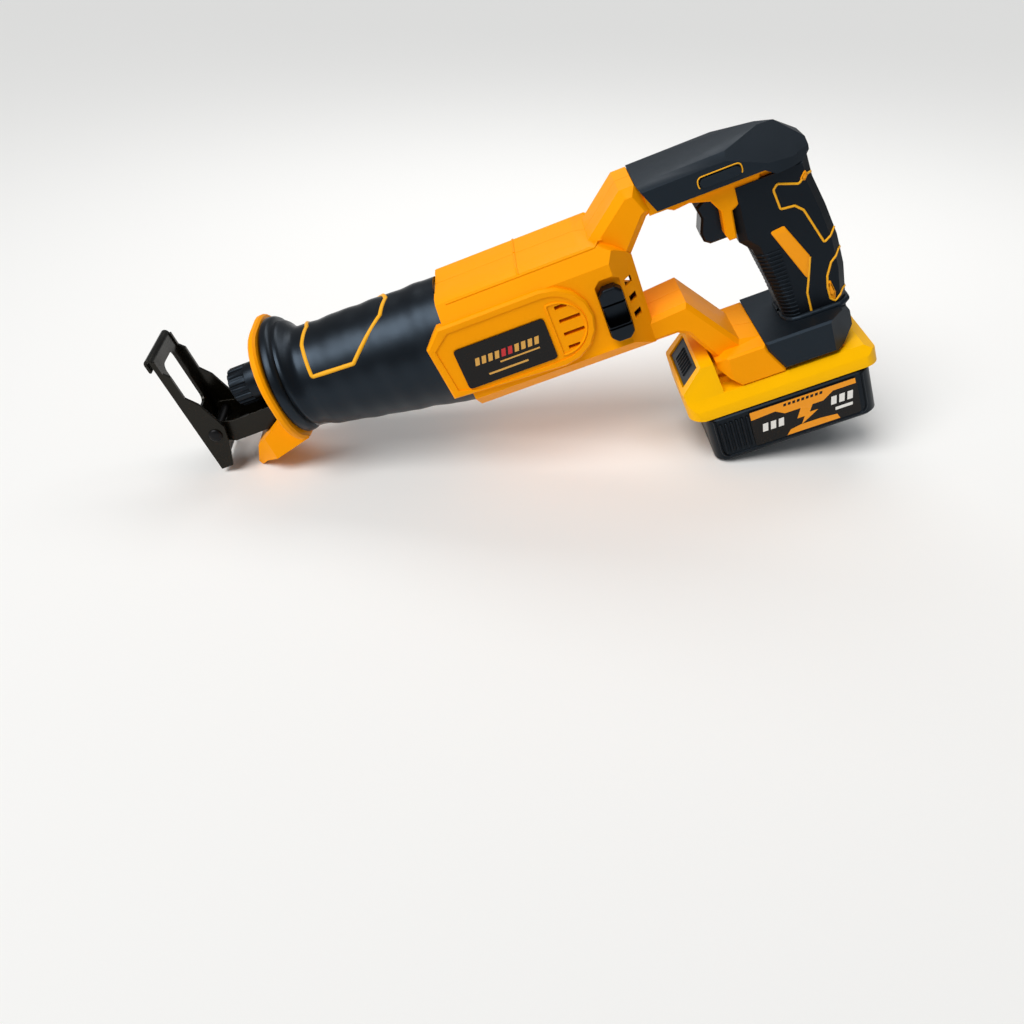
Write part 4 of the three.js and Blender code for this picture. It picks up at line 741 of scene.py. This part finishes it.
class SAW_OT_housing(SawOperator, bpy.types.Operator):
    """Builds both halves of the housing, with their panels, seams and louvre rims"""

    bl_idname = "saw.housing"
    bl_label = "Housing"

    def build(self, given):
        panel_border = 5.2
        for side, hand in SIDES:
            node = "housing_" + hand
            body = merged_copy(node, node + "_shell")
            pocket = prism(panel_outline(panel_border), side * 60, side * (PLATE_Y - 1.1))
            cut(body, as_object(pocket, "pocket"))
            rounded(body, given.finish.edge)
            place(body, "housing_nylon", "saw_frame", [node], crease=32)
        self.seams()
        self.louvre_rims()
        for index in range(1, 5):
            node = f"housing_screw_{index}"
            refined(node, node + "_turned", "blackened_steel", 0.4)

    def seams(self):
        """Fine raised beads: one over the body and one along each shoulder."""
        top = Vector((PLATE[1].x - 6, 0, 150))
        shoulder_z = PLATE[1].z + 28.5
        paths = []
        for side, hand in SIDES:
            skin = skin_of("housing_" + hand)
            over = []
            for k in range(25):
                a = math.radians(1.5 + 60 * k / 24)
                direction = Vector((0, -side * math.sin(a), -math.cos(a)))
                hit = landed(skin, top - direction * OUTSIDE, direction)
                if hit is not None and hit.z > shoulder_z - 1:
                    over.append(tuple(hit))
            along = [(HOUSING[0].x + 23, shoulder_z), (SELECTOR[0].x + 14, shoulder_z)]
            paths += [over, draped(skin, along, side, 3.0)]
        piping("housing_seams", paths, "housing_nylon", "saw_frame", 0.75, 0.8)

    def louvre_rims(self):
        """The D-shaped lip that frames each louvre."""
        centre = (PLATE[1].x + 6.5, (PLATE[0].z + PLATE[1].z) / 2 + 3.5)
        reach, flat_at = 19.0, -2.5
        turn = math.acos(flat_at / reach)
        outline = arc(centre, reach, -turn, turn, 24)
        paths = [[(x, side * (PLATE_Y - 1.0), z) for x, z in outline + outline[:1]] for side, _ in SIDES]
        piping("louvre_rims", paths, "housing_nylon", "saw_frame", 0.75, 1.0)


class SAW_OT_boot(SawOperator, bpy.types.Operator):
    """Builds the rubber boot with its flange, ripples and yellow line"""

    bl_idname = "saw.boot"
    bl_label = "Boot"

    def stations(self):
        """The boot's ovals along the tool: x, half width, half height and centre height."""
        front, rear = BOOT[0].x, BOOT[1].x
        flange_y, flange_z, flange_at = 45.5, 42.0, 169.0
        neck_y, neck_z, neck_at = 37.0, 37.0, 160.5
        rear_y, rear_z, rear_at = 41.0, 46.3, 149.6
        made = [
            (front, flange_y - 2.4, flange_z - 2.4, flange_at),
            (front + 0.7, flange_y - 0.8, flange_z - 0.8, flange_at),
            (front + 2.0, flange_y, flange_z, flange_at),
            (front + 5.4, flange_y - 0.3, flange_z - 0.3, flange_at),
            (front + 7.0, flange_y - 1.3, flange_z - 1.2, flange_at - 0.1),
            (front + 7.9, flange_y - 3.2, flange_z - 2.8, flange_at - 0.4),
            (front + 8.4, flange_y - 4.7, flange_z - 4.0, flange_at - 0.7),
            (front + 9.4, flange_y - 4.7, flange_z - 3.9, flange_at - 1.0),
            (front + 10.6, flange_y - 4.2, flange_z - 3.4, flange_at - 1.5),
            (front + 12.2, flange_y - 4.9, flange_z - 3.9, flange_at - 2.4),
            (front + 14.2, neck_y + 1.6, neck_z - 0.2, neck_at + 4.4),
            (front + 16.6, neck_y + 0.2, neck_z - 0.7, neck_at + 2.3),
            (front + 19.5, neck_y - 0.3, neck_z - 0.3, neck_at + 0.9),
            (front + 23.0, neck_y + 0.3, neck_z + 0.3, neck_at + 0.1),
        ]
        start = Vector(made[-1])
        end = Vector((rear, rear_y, rear_z, rear_at))
        count = 54
        return made + [tuple(start.lerp(end, k / count)) for k in range(1, count + 1)]

    def ring(self, station, inset, ripple):
        x, half_y, half_z, centre = station
        ring = []
        around = 96
        for k in range(around):
            a = 2 * math.pi * k / around
            # Three waves of unlike length and lean read as the boot's soft, uneven ripples.
            swell = ripple * (
                0.55 * math.sin(x / 2.6 + 1.5 * math.sin(a))
                + 0.8 * math.sin(x / 4.7 + 0.9 * math.cos(a + 0.7))
                + 0.5 * math.sin(x / 8.9 - 1.3 * math.cos(2 * a))
            ) - inset
            ring.append((x, (half_y + swell) * math.cos(a), centre + (half_z + swell) * math.sin(a)))
        return ring

    def build(self, given):
        stations = self.stations()
        front, rear = BOOT[0].x, BOOT[1].x
        rings = []
        for station in stations:
            run = (station[0] - front - 16) / (rear - front - 16)
            calm = max(0.0, min(1.0, run * 6)) * max(0.0, min(1.0, (1 - run) * 9))
            rings.append(self.ring(station, 0, given.finish.ripple * calm))
        inner = [self.ring(station, 2.4, 0) for station in stations[::6] + [stations[-1]]]
        skin = loft(rings + inner[::-1], closed=True)
        boot = as_object(skin, "boot_skin")
        place(boot, "boot_rubber", "saw_frame", ["front_boot"], crease=60)
        self.line(stations)

    def line(self, stations):
        """The yellow line inlaid in the boot: along the waist on each side and over the top twice."""
        front = BOOT[0].x
        # Each corner is a place along the tool and an angle up from the side.
        corners = [(front + 30, 90), (front + 26.5, 62), (front + 27.5, 25), (front + 58, 26.5),
                   (front + 85, 66), (front + 90, 90)]
        paths = []
        for side, _ in SIDES:
            path = []
            for (x0, a0), (x1, a1) in zip(corners, corners[1:]):
                for k in range(14):
                    x, angle = x0 + (x1 - x0) * k / 14, a0 + (a1 - a0) * k / 14
                    path.append(self.on_boot(stations, x, angle, side))
            path.append(self.on_boot(stations, *corners[-1], side))
            paths.append(path)
        piping("boot_line", paths, "trim_tpe", "saw_frame", 1.6, 1.5, sides=10)

    def on_boot(self, stations, x, degrees, side):
        """A point just under the boot's skin."""
        before = max((st for st in stations if st[0] <= x), key=lambda st: st[0])
        after = min((st for st in stations if st[0] > x), key=lambda st: st[0])
        t = (x - before[0]) / (after[0] - before[0])
        half_y, half_z, centre = (before[i] + (after[i] - before[i]) * t for i in (1, 2, 3))
        a = math.radians(degrees)
        return (x, side * (half_y - 0.55) * math.cos(a), centre + (half_z - 0.55) * math.sin(a))


class SAW_OT_nose(SawOperator, bpy.types.Operator):
    """Builds the yellow guard, its screws and the blade clamp's ribbed collar"""

    bl_idname = "saw.nose"
    bl_label = "Guard and collar"

    def build(self, given):
        refined("nose_guard", "guard_ring", "housing_nylon", 1.6)
        for node in ("guard_screw_left", "guard_screw_right"):
            refined(node, node + "_turned", "blackened_steel", 0.5)
        self.collar()

    def collar(self):
        low, high = COLLAR
        outer = (high.y - low.y) / 2
        bore = 9.9
        centre = (0, 0, STROKE_Z)
        groove = outer - 1.5
        front, rear = low.x, high.x
        split = front + 12
        profile = [
            (bore, front), (groove - 0.4, front), (groove, front + 0.6), (groove, split),
            (outer - 0.5, split + 0.8), (outer, split + 1.6), (outer, rear - 1.2), (outer - 0.9, rear),
            (bore, rear),
        ]
        sleeve = as_object(revolve(profile, centre, "x", 72), "collar_sleeve")
        place(sleeve, "black_nylon", "collar", ["clamp_collar"], crease=40)
        rib = self.rib(groove, outer, front, split + 1.2)
        holder = as_object(rib, "collar_ribs")
        grown(holder, "turns", "black_nylon", {"Count": 14})
        holder.data.transform(Matrix.Translation(centre))
        place(holder, "black_nylon", "collar", crease=40)

    def rib(self, groove, outer, front, rear):
        """One finger rib, its crown rounded, standing on the sleeve at the top."""
        half = 2.0
        section = [(-half - 0.3, groove - 0.6), (-half, outer - 0.7), (-half + 0.7, outer - 0.05)]
        section += [(-y, z) for y, z in reversed(section)]
        rings = []
        for x, drop in ((front + 0.1, 1.1), (front + 0.5, 0.4), (front + 1.2, 0.0), (rear, 0.0)):
            rings.append([(x, y, z - (drop if z > groove else 0)) for y, z in section])
        return loft(rings)


class SAW_OT_shoe(SawOperator, bpy.types.Operator):
    """Builds the pivoting shoe, its bracket and its rivet"""

    bl_idname = "saw.shoe"
    bl_label = "Shoe"

    def build(self, given):
        pressed = given.finish.pressed_edge
        refined("shoe_plate", "shoe_pressing", "lacquered_steel", pressed)
        refined("shoe_bracket", "bracket_pressing", "lacquered_steel", pressed)
        self.fold()
        self.rivet()

    def fold(self):
        """The plate's top edge, rolled forward into a blunt lip."""
        low, high = SHOE
        centre_x, top = low.x - 1.0, high.z
        outer, inner, hang = 3.3, 1.1, 6.5
        back = top - 5
        section = [(centre_x + outer, back)] + arc((centre_x, top), outer, 0, math.pi, 12)
        section += [(centre_x - outer, top - hang + 0.8), (centre_x - outer + 0.6, top - hang),
                    (centre_x - inner - 0.6, top - hang), (centre_x - inner, top - hang + 0.8)]
        section += arc((centre_x, top), inner, math.pi, 0, 12) + [(centre_x + inner, back)]
        lip = as_object(prism(section, low.y + 0.1, high.y - 0.1), "shoe_lip")
        rounded(lip, 0.5, 3, 60)
        place(lip, "lacquered_steel", "shoe")

    def rivet(self):
        low, high = RIVET
        centre = (low + high) / 2
        head, shank, crown = (high.x - low.x) / 2, 3.0, 2.0
        half = (high.y - low.y) / 2
        dome = []
        for k in range(1, 7):
            a = math.pi / 2 * k / 6
            dome.append((head * 0.96 * math.sin(a), 1.6 * (1 - math.cos(a)) - half))
        near = [(0.01, -half)] + dome + [(head, crown - half), (shank, crown - half)]
        profile = near + [(r, -h) for r, h in reversed(near)]
        rivet = as_object(revolve(profile, (centre.x, 0, centre.z), "y", 40), "rivet_domed")
        place(rivet, "blackened_steel", "shoe_carrier", ["shoe_rivet"], crease=40)


class SAW_OT_labels(SawOperator, bpy.types.Operator):
    """Builds the name plates and the battery's labels, with plain bars in place of words"""

    bl_idname = "saw.labels"
    bl_label = "Labels"

    def build(self, given):
        low, high = PLATE
        outline = rounded_outline([(low.x, low.z), (high.x, low.z), (high.x, high.z), (low.x, high.z)], 3.0)
        for side, hand in SIDES:
            node = "name_plate_" + hand
            face = side * PLATE_Y
            plate = rounded(as_object(prism(outline, face, face - side * 1.0), node + "_card"), 0.25, 2)
            place(plate, "label_print", "saw_frame", [node])
            self.bars(node, face, side)
        for side, hand in SIDES:
            self.badge("battery_badge_" + hand, side)

    def flat(self, name, outlines, face, side, finish, body):
        """Ink: flat shapes a tenth of a millimetre proud of a label."""
        shape = bmesh.new()
        for outline in outlines:
            prism(outline, face - side * 0.2, face + side * 0.1, into=shape)
        place(as_object(shape, name), finish, body)

    def bars(self, node, face, side):
        """A row of leaning bars, a thin rule and a short rule: the look of print without words."""
        low, high = PLATE
        width = high.x - low.x
        gold, red = [], []
        for k in range(10):
            x = low.x + width * (0.16 + 0.66 * k / 9)
            lean, thick = 1.6, 3.0
            foot, head = low.z + 15.2, low.z + 20.6
            bar = [(x, foot), (x + thick, foot), (x + thick + lean, head), (x + lean, head)]
            (red if k in (4, 5) else gold).append(bar)
        for start, end, under, over in ((0.42, 0.86, 11.6, 12.7), (0.26, 0.70, 5.6, 7.0)):
            x0, x1, z0, z1 = low.x + width * start, low.x + width * end, low.z + under, low.z + over
            gold.append([(x0, z0), (x1, z0), (x1, z1), (x0, z1)])
        self.flat(node + "_gold", gold, face, side, "gold_print", "saw_frame")
        self.flat(node + "_red", red, face, side, "red_print", "saw_frame")

    def badge(self, node, side):
        low, high = BADGE
        face = side * abs(low.y)
        width, height = high.x - low.x, high.z - low.z
        outline = rounded_outline([(low.x, low.z), (high.x, low.z), (high.x, high.z), (low.x, high.z)], 2.5)
        card = rounded(as_object(prism(outline, face, face - side * 0.8), node + "_card"), 0.2, 2)
        place(card, "label_print", "battery", [node])

        def at(*shares):
            return [(low.x + width * u, low.z + height * v) for u, v in shares]

        band = at((0.01, 0.98), (0.01, 0.76), (0.24, 0.80), (0.32, 0.66), (0.68, 0.66), (0.78, 0.84),
                  (0.99, 0.84), (0.99, 0.98))
        foot = at((0.30, 0.02), (0.34, 0.15), (0.44, 0.20), (0.62, 0.20), (0.78, 0.16), (0.80, 0.02))
        # A plain bolt of two triangles stands in the middle of the band.
        bolt = at((0.47, 0.66), (0.58, 0.66), (0.54, 0.47), (0.62, 0.47), (0.45, 0.20), (0.49, 0.40),
                  (0.42, 0.40))
        self.flat(node + "_orange", [band, foot, bolt], face, side, "orange_print", "battery")
        whites = []
        for k in range(3):
            x0 = 0.09 + 0.075 * k
            whites.append(at((x0, 0.34), (x0 + 0.05, 0.34), (x0 + 0.065, 0.56), (x0 + 0.015, 0.56)))
            x1 = 0.74 + 0.075 * k
            whites.append(at((x1, 0.46), (x1 + 0.05, 0.46), (x1 + 0.065, 0.68), (x1 + 0.015, 0.68)))
        whites.append(at((0.77, 0.28), (0.93, 0.28), (0.935, 0.36), (0.775, 0.36)))
        self.flat(node + "_white", whites, face, side, "white_print", "battery")
        inks = []
        for k in range(9):
            x = 0.32 + 0.042 * k
            inks.append(at((x, 0.86), (x + 0.026, 0.86), (x + 0.032, 0.93), (x + 0.006, 0.93)))
        raised = face + side * 0.1
        self.flat(node + "_ink", inks, raised, side, "label_print", "battery")


class SAW_OT_controls(SawOperator, bpy.types.Operator):
    """Builds the trigger, the lock button and the speed selector"""

    bl_idname = "saw.controls"
    bl_label = "Controls"

    def build(self, given):
        refined("trigger", "trigger_paddle", "black_nylon", 1.2)
        refined("lock_button", "lock_bar", "overmould_tpe", 0.7)
        self.selector()
        self.lock_line()

    def selector(self):
        low, high = SELECTOR
        mid = (low.z + high.z) / 2
        block = rounded(merged_copy("selector_button", "selector_key"), 1.1, 3)
        length = high.z - low.z
        for share in (0.27, 0.71):
            z = low.z + length * share
            near, far = low.y - 1, low.y + 2.2
            slot = [(near, z - 0.9), (far, z - 0.5), (far, z + 0.5), (near, z + 0.9)]
            cut(block, as_object(prism(slot, low.x - 1, high.x + 1, "x"), "slot"))
        drum = [(0.01, -20), (26, -20), (26, 20), (0.01, 20)]
        scoop = as_object(revolve(drum, (0, 0, 0), "x", 96), "scoop")
        scoop.data.transform(Matrix.Translation(((low.x + high.x) / 2, low.y - 24.9, mid - 0.2)))
        cut(block, scoop)
        place(block, "black_nylon", "selector", ["selector_button"], crease=34)

    def lock_line(self):
        """The thin yellow edge moulded round the lock button's recess."""
        low, high = LOCK
        skin = skin_of("handle_cover")
        x0, x1, z0, z1 = low.x - 1.0, high.x + 1.0, low.z - 0.9, high.z + 1.1
        path = rounded_outline([(x0, z0), (x0, z1), (x1, z1), (x1, z0)], 3.4)
        paths = []
        for side, _ in SIDES:
            run = draped(skin, path[3:-3], side, 1.0)
            paths.append([p for p in run if abs(p[1]) > abs(HOUSING[0].y) * 0.45])
        piping("lock_line", paths, "trim_tpe", "saw_frame", 0.45, 0.8)


class SAW_OT_handle(SawOperator, bpy.types.Operator):
    """Builds the handle's cover, the ribbed grip with its inlays and the foot's cover"""

    bl_idname = "saw.handle"
    bl_label = "Handle"

    def build(self, given):
        refined("handle_cover", "handle_skin", "overmould_tpe", 1.3, 4)
        refined("foot_cover", "foot_skin", "overmould_tpe", 1.4, 4)
        refined("grip_rubber", "grip_skin", "grip_rubber", 2.0, 4)
        self.ribs()
        self.lines()
        self.inlays()
        self.saddle()

    def saddle(self):
        """The soft swelling where the grip flows into the foot's cover."""
        skin = skin_of("grip_rubber")
        middle = Vector((29, 0, FOOT[1].z + 0.4))
        loop = ringed(skin, middle, 0, 360, 40, 0.6)
        piping("foot_saddle", [loop], "overmould_tpe", "saw_frame", 2.3, 1.0, sides=12)

    def ribs(self):
        """Fine finger ribs across the front of the grip, from below the trigger to the foot."""
        skin = skin_of("grip_rubber")
        paths = []
        spacing = 3.1
        z = GRIP[0].z + 6
        while z < GRIP[1].z - 54:
            share = (z - GRIP[0].z) / (GRIP[1].z - GRIP[0].z)
            middle = Vector((26 - 10 * share, 0, z))
            paths.append([p for p in ringed(skin, middle, 276, 84, 24, 0.05) if p[0] < middle.x - 7])
            z += spacing
        piping("grip_ribs", paths, "grip_rubber", "saw_frame", 0.95, 0.5)

    def lines(self):
        """The yellow decor lines on both cheeks of the grip."""
        skin = skin_of("grip_rubber")
        upper = [(45, 178), (36, 180), (31, 176), (18, 181), (15, 178), (17, 164), (26, 163), (31, 158),
                 (40, 131.5), (50, 138)]
        middle = [(29.4, 125), (25.5, 108.5), (23.3, 100), (23.8, 80)]
        rear = [(49, 122), (42, 116), (38, 107), (37, 99), (37.5, 90), (40.5, 87), (47, 93)]
        paths = [draped(skin, path, side, 1.2) for side, _ in SIDES for path in (upper, middle, rear)]
        # Four of those ends meet their mirror images round the back of the grip.
        for x, z in (upper[0], upper[-1], rear[0], rear[-1]):
            around = ringed(skin, Vector((x - 12, 0, z)), -90, 90, 60)
            paths.append([p for p in around if p[0] > x - 0.4])
        piping("grip_lines", paths, "trim_tpe", "saw_frame", 0.8, 2.0)

    def inlays(self):
        skin = skin_of("grip_rubber")
        long_inlay = [(7.5, 151.5), (17, 152.5), (29.4, 126), (25.5, 109)]
        short_inlay = [(37, 104), (39.6, 103), (41.6, 94), (40.5, 88), (37.4, 91)]
        top_inlay = [(32, 178.5), (36, 183.5), (37.5, 179.5), (35, 176.5)]
        shapes = (("long", long_inlay, 1.6), ("short", short_inlay, 0.9), ("top", top_inlay, 0.9))
        for side, hand in SIDES:
            for name, outline, corner in shapes:
                edge = rounded_outline(outline, corner, 3)
                edge = stepped(edge + edge[:1], 2.0)[:-1]
                patch = as_object(crowned_patch(skin, edge, 0.9, side), f"grip_inlay_{name}_{hand}")
                place(patch, "inlay_nylon", "saw_frame", crease=50)


class SAW_OT_battery(SawOperator, bpy.types.Operator):
    """Builds the battery's shells, ribs and latch"""

    bl_idname = "saw.battery"
    bl_label = "Battery"

    def build(self, given):
        refined("battery_upper_case", "battery_shell", "battery_nylon", 3.6, 5)
        refined("battery_lower_case", "battery_tub", "case_abs", 1.2)
        self.ribs()
        self.rim()
        self.latch()

    def ribs(self):
        """Upright finger ribs at the front of each side."""
        low = LOWER_CASE[0]
        for side, hand in SIDES:
            face = side * abs(low.y)
            rib = bmesh.new()
            bmesh.ops.create_uvsphere(rib, u_segments=12, v_segments=10, radius=1.0)
            for v in rib.verts:
                v.co.x *= 1.35
                v.co.y *= 1.8
                v.co.z = v.co.z * 1.2 + (12 if v.co.z > 0.001 else -12 if v.co.z < -0.001 else 0)
            holder = as_object(rib, "battery_ribs_" + hand)
            grown(holder, "row", "case_abs", {"Count": 6, "Step X": 3.9})
            holder.data.transform(Matrix.Translation((low.x + 9.0, face, low.z + 20.5)))
            place(holder, "case_abs", "battery", crease=60)

    def rim(self):
        """The raised bead that frames each side of the tub, along its foot and up its ends."""
        low, high = LOWER_CASE
        x0, x1 = low.x + 5.5, high.x - 7.5
        z0, z1 = low.z + 4.2, high.z - 2.5
        paths = []
        for side, _ in SIDES:
            y = side * (abs(low.y) - 0.1)
            paths.append([(x0, y, z1), (x0, y, z0), (x1, y, z0), (x1, y, z1)])
        piping("battery_bead", paths, "case_abs", "battery", 0.85, 6.0, sides=10)

    def latch(self):
        """The release button, with finger ribs that run down its slope."""
        refined("battery_latch", "latch_button", "black_nylon", 0.9)
        centre = (LATCH[0] + LATCH[1]) / 2
        slope = Vector((LATCH[1].x - LATCH[0].x, 0, LATCH[1].z - LATCH[0].z)).normalized()
        outward = Vector((-slope.z, 0, slope.x))
        face = landed(skin_of("battery_latch"), centre + outward * 30, -outward)
        section = [(-0.9, -0.4), (-0.75, 0.55), (-0.3, 0.9), (0.3, 0.9), (0.75, 0.55), (0.9, -0.4)]
        rings = []
        for along, share in ((-5.6, 0.1), (-5.0, 0.9), (-4.4, 1.0), (4.4, 1.0), (5.0, 0.9), (5.6, 0.1)):
            rings.append([slope * along + Vector((0, y, 0)) + outward * h * share for y, h in section])
        ribs = as_object(loft(rings), "latch_ribs")
        count, step = 7, 4.2
        grown(ribs, "row", "black_nylon", {"Count": count, "Step Y": step})
        ribs.data.transform(Matrix.Translation(face - Vector((0, step * (count - 1) / 2, 0))))
        place(ribs, "black_nylon", "latch", crease=50)


class SAW_PT_panel(bpy.types.Panel):
    """Lists the saw's colours, finishes and pieces"""

    bl_idname = "SAW_PT_panel"
    bl_label = "Reciprocating saw"
    bl_space_type = "VIEW_3D"
    bl_region_type = "UI"
    bl_category = "Saw"

    def draw(self, context):
        given = context.scene.saw_settings
        for group in (given.colours, given.finish, given.stage):
            box = self.layout.box()
            for name in group.bl_rna.properties.keys():
                if name not in {"rna_type", "name"}:
                    box.prop(group, name)
        for operator in PIECES:
            self.layout.operator(operator.bl_idname)


PIECES = (
    SAW_OT_stage, SAW_OT_inside, SAW_OT_housing, SAW_OT_boot, SAW_OT_nose, SAW_OT_shoe, SAW_OT_labels,
    SAW_OT_controls, SAW_OT_handle, SAW_OT_battery,
)
CLASSES = (SawColours, SawFinish, SawStage, SawSettings) + PIECES + (SAW_PT_panel,)


def register():
    for made in CLASSES:
        bpy.utils.register_class(made)
    bpy.types.Scene.saw_settings = PointerProperty(type=SawSettings)


def unregister():
    del bpy.types.Scene.saw_settings
    for made in reversed(CLASSES):
        bpy.utils.unregister_class(made)


def main():
    register()
    FINISHES.update(make_finishes())
    for operator in PIECES:
        group, name = operator.bl_idname.split(".")
        getattr(getattr(bpy.ops, group), name)()


if __name__ == "__main__":
    main()
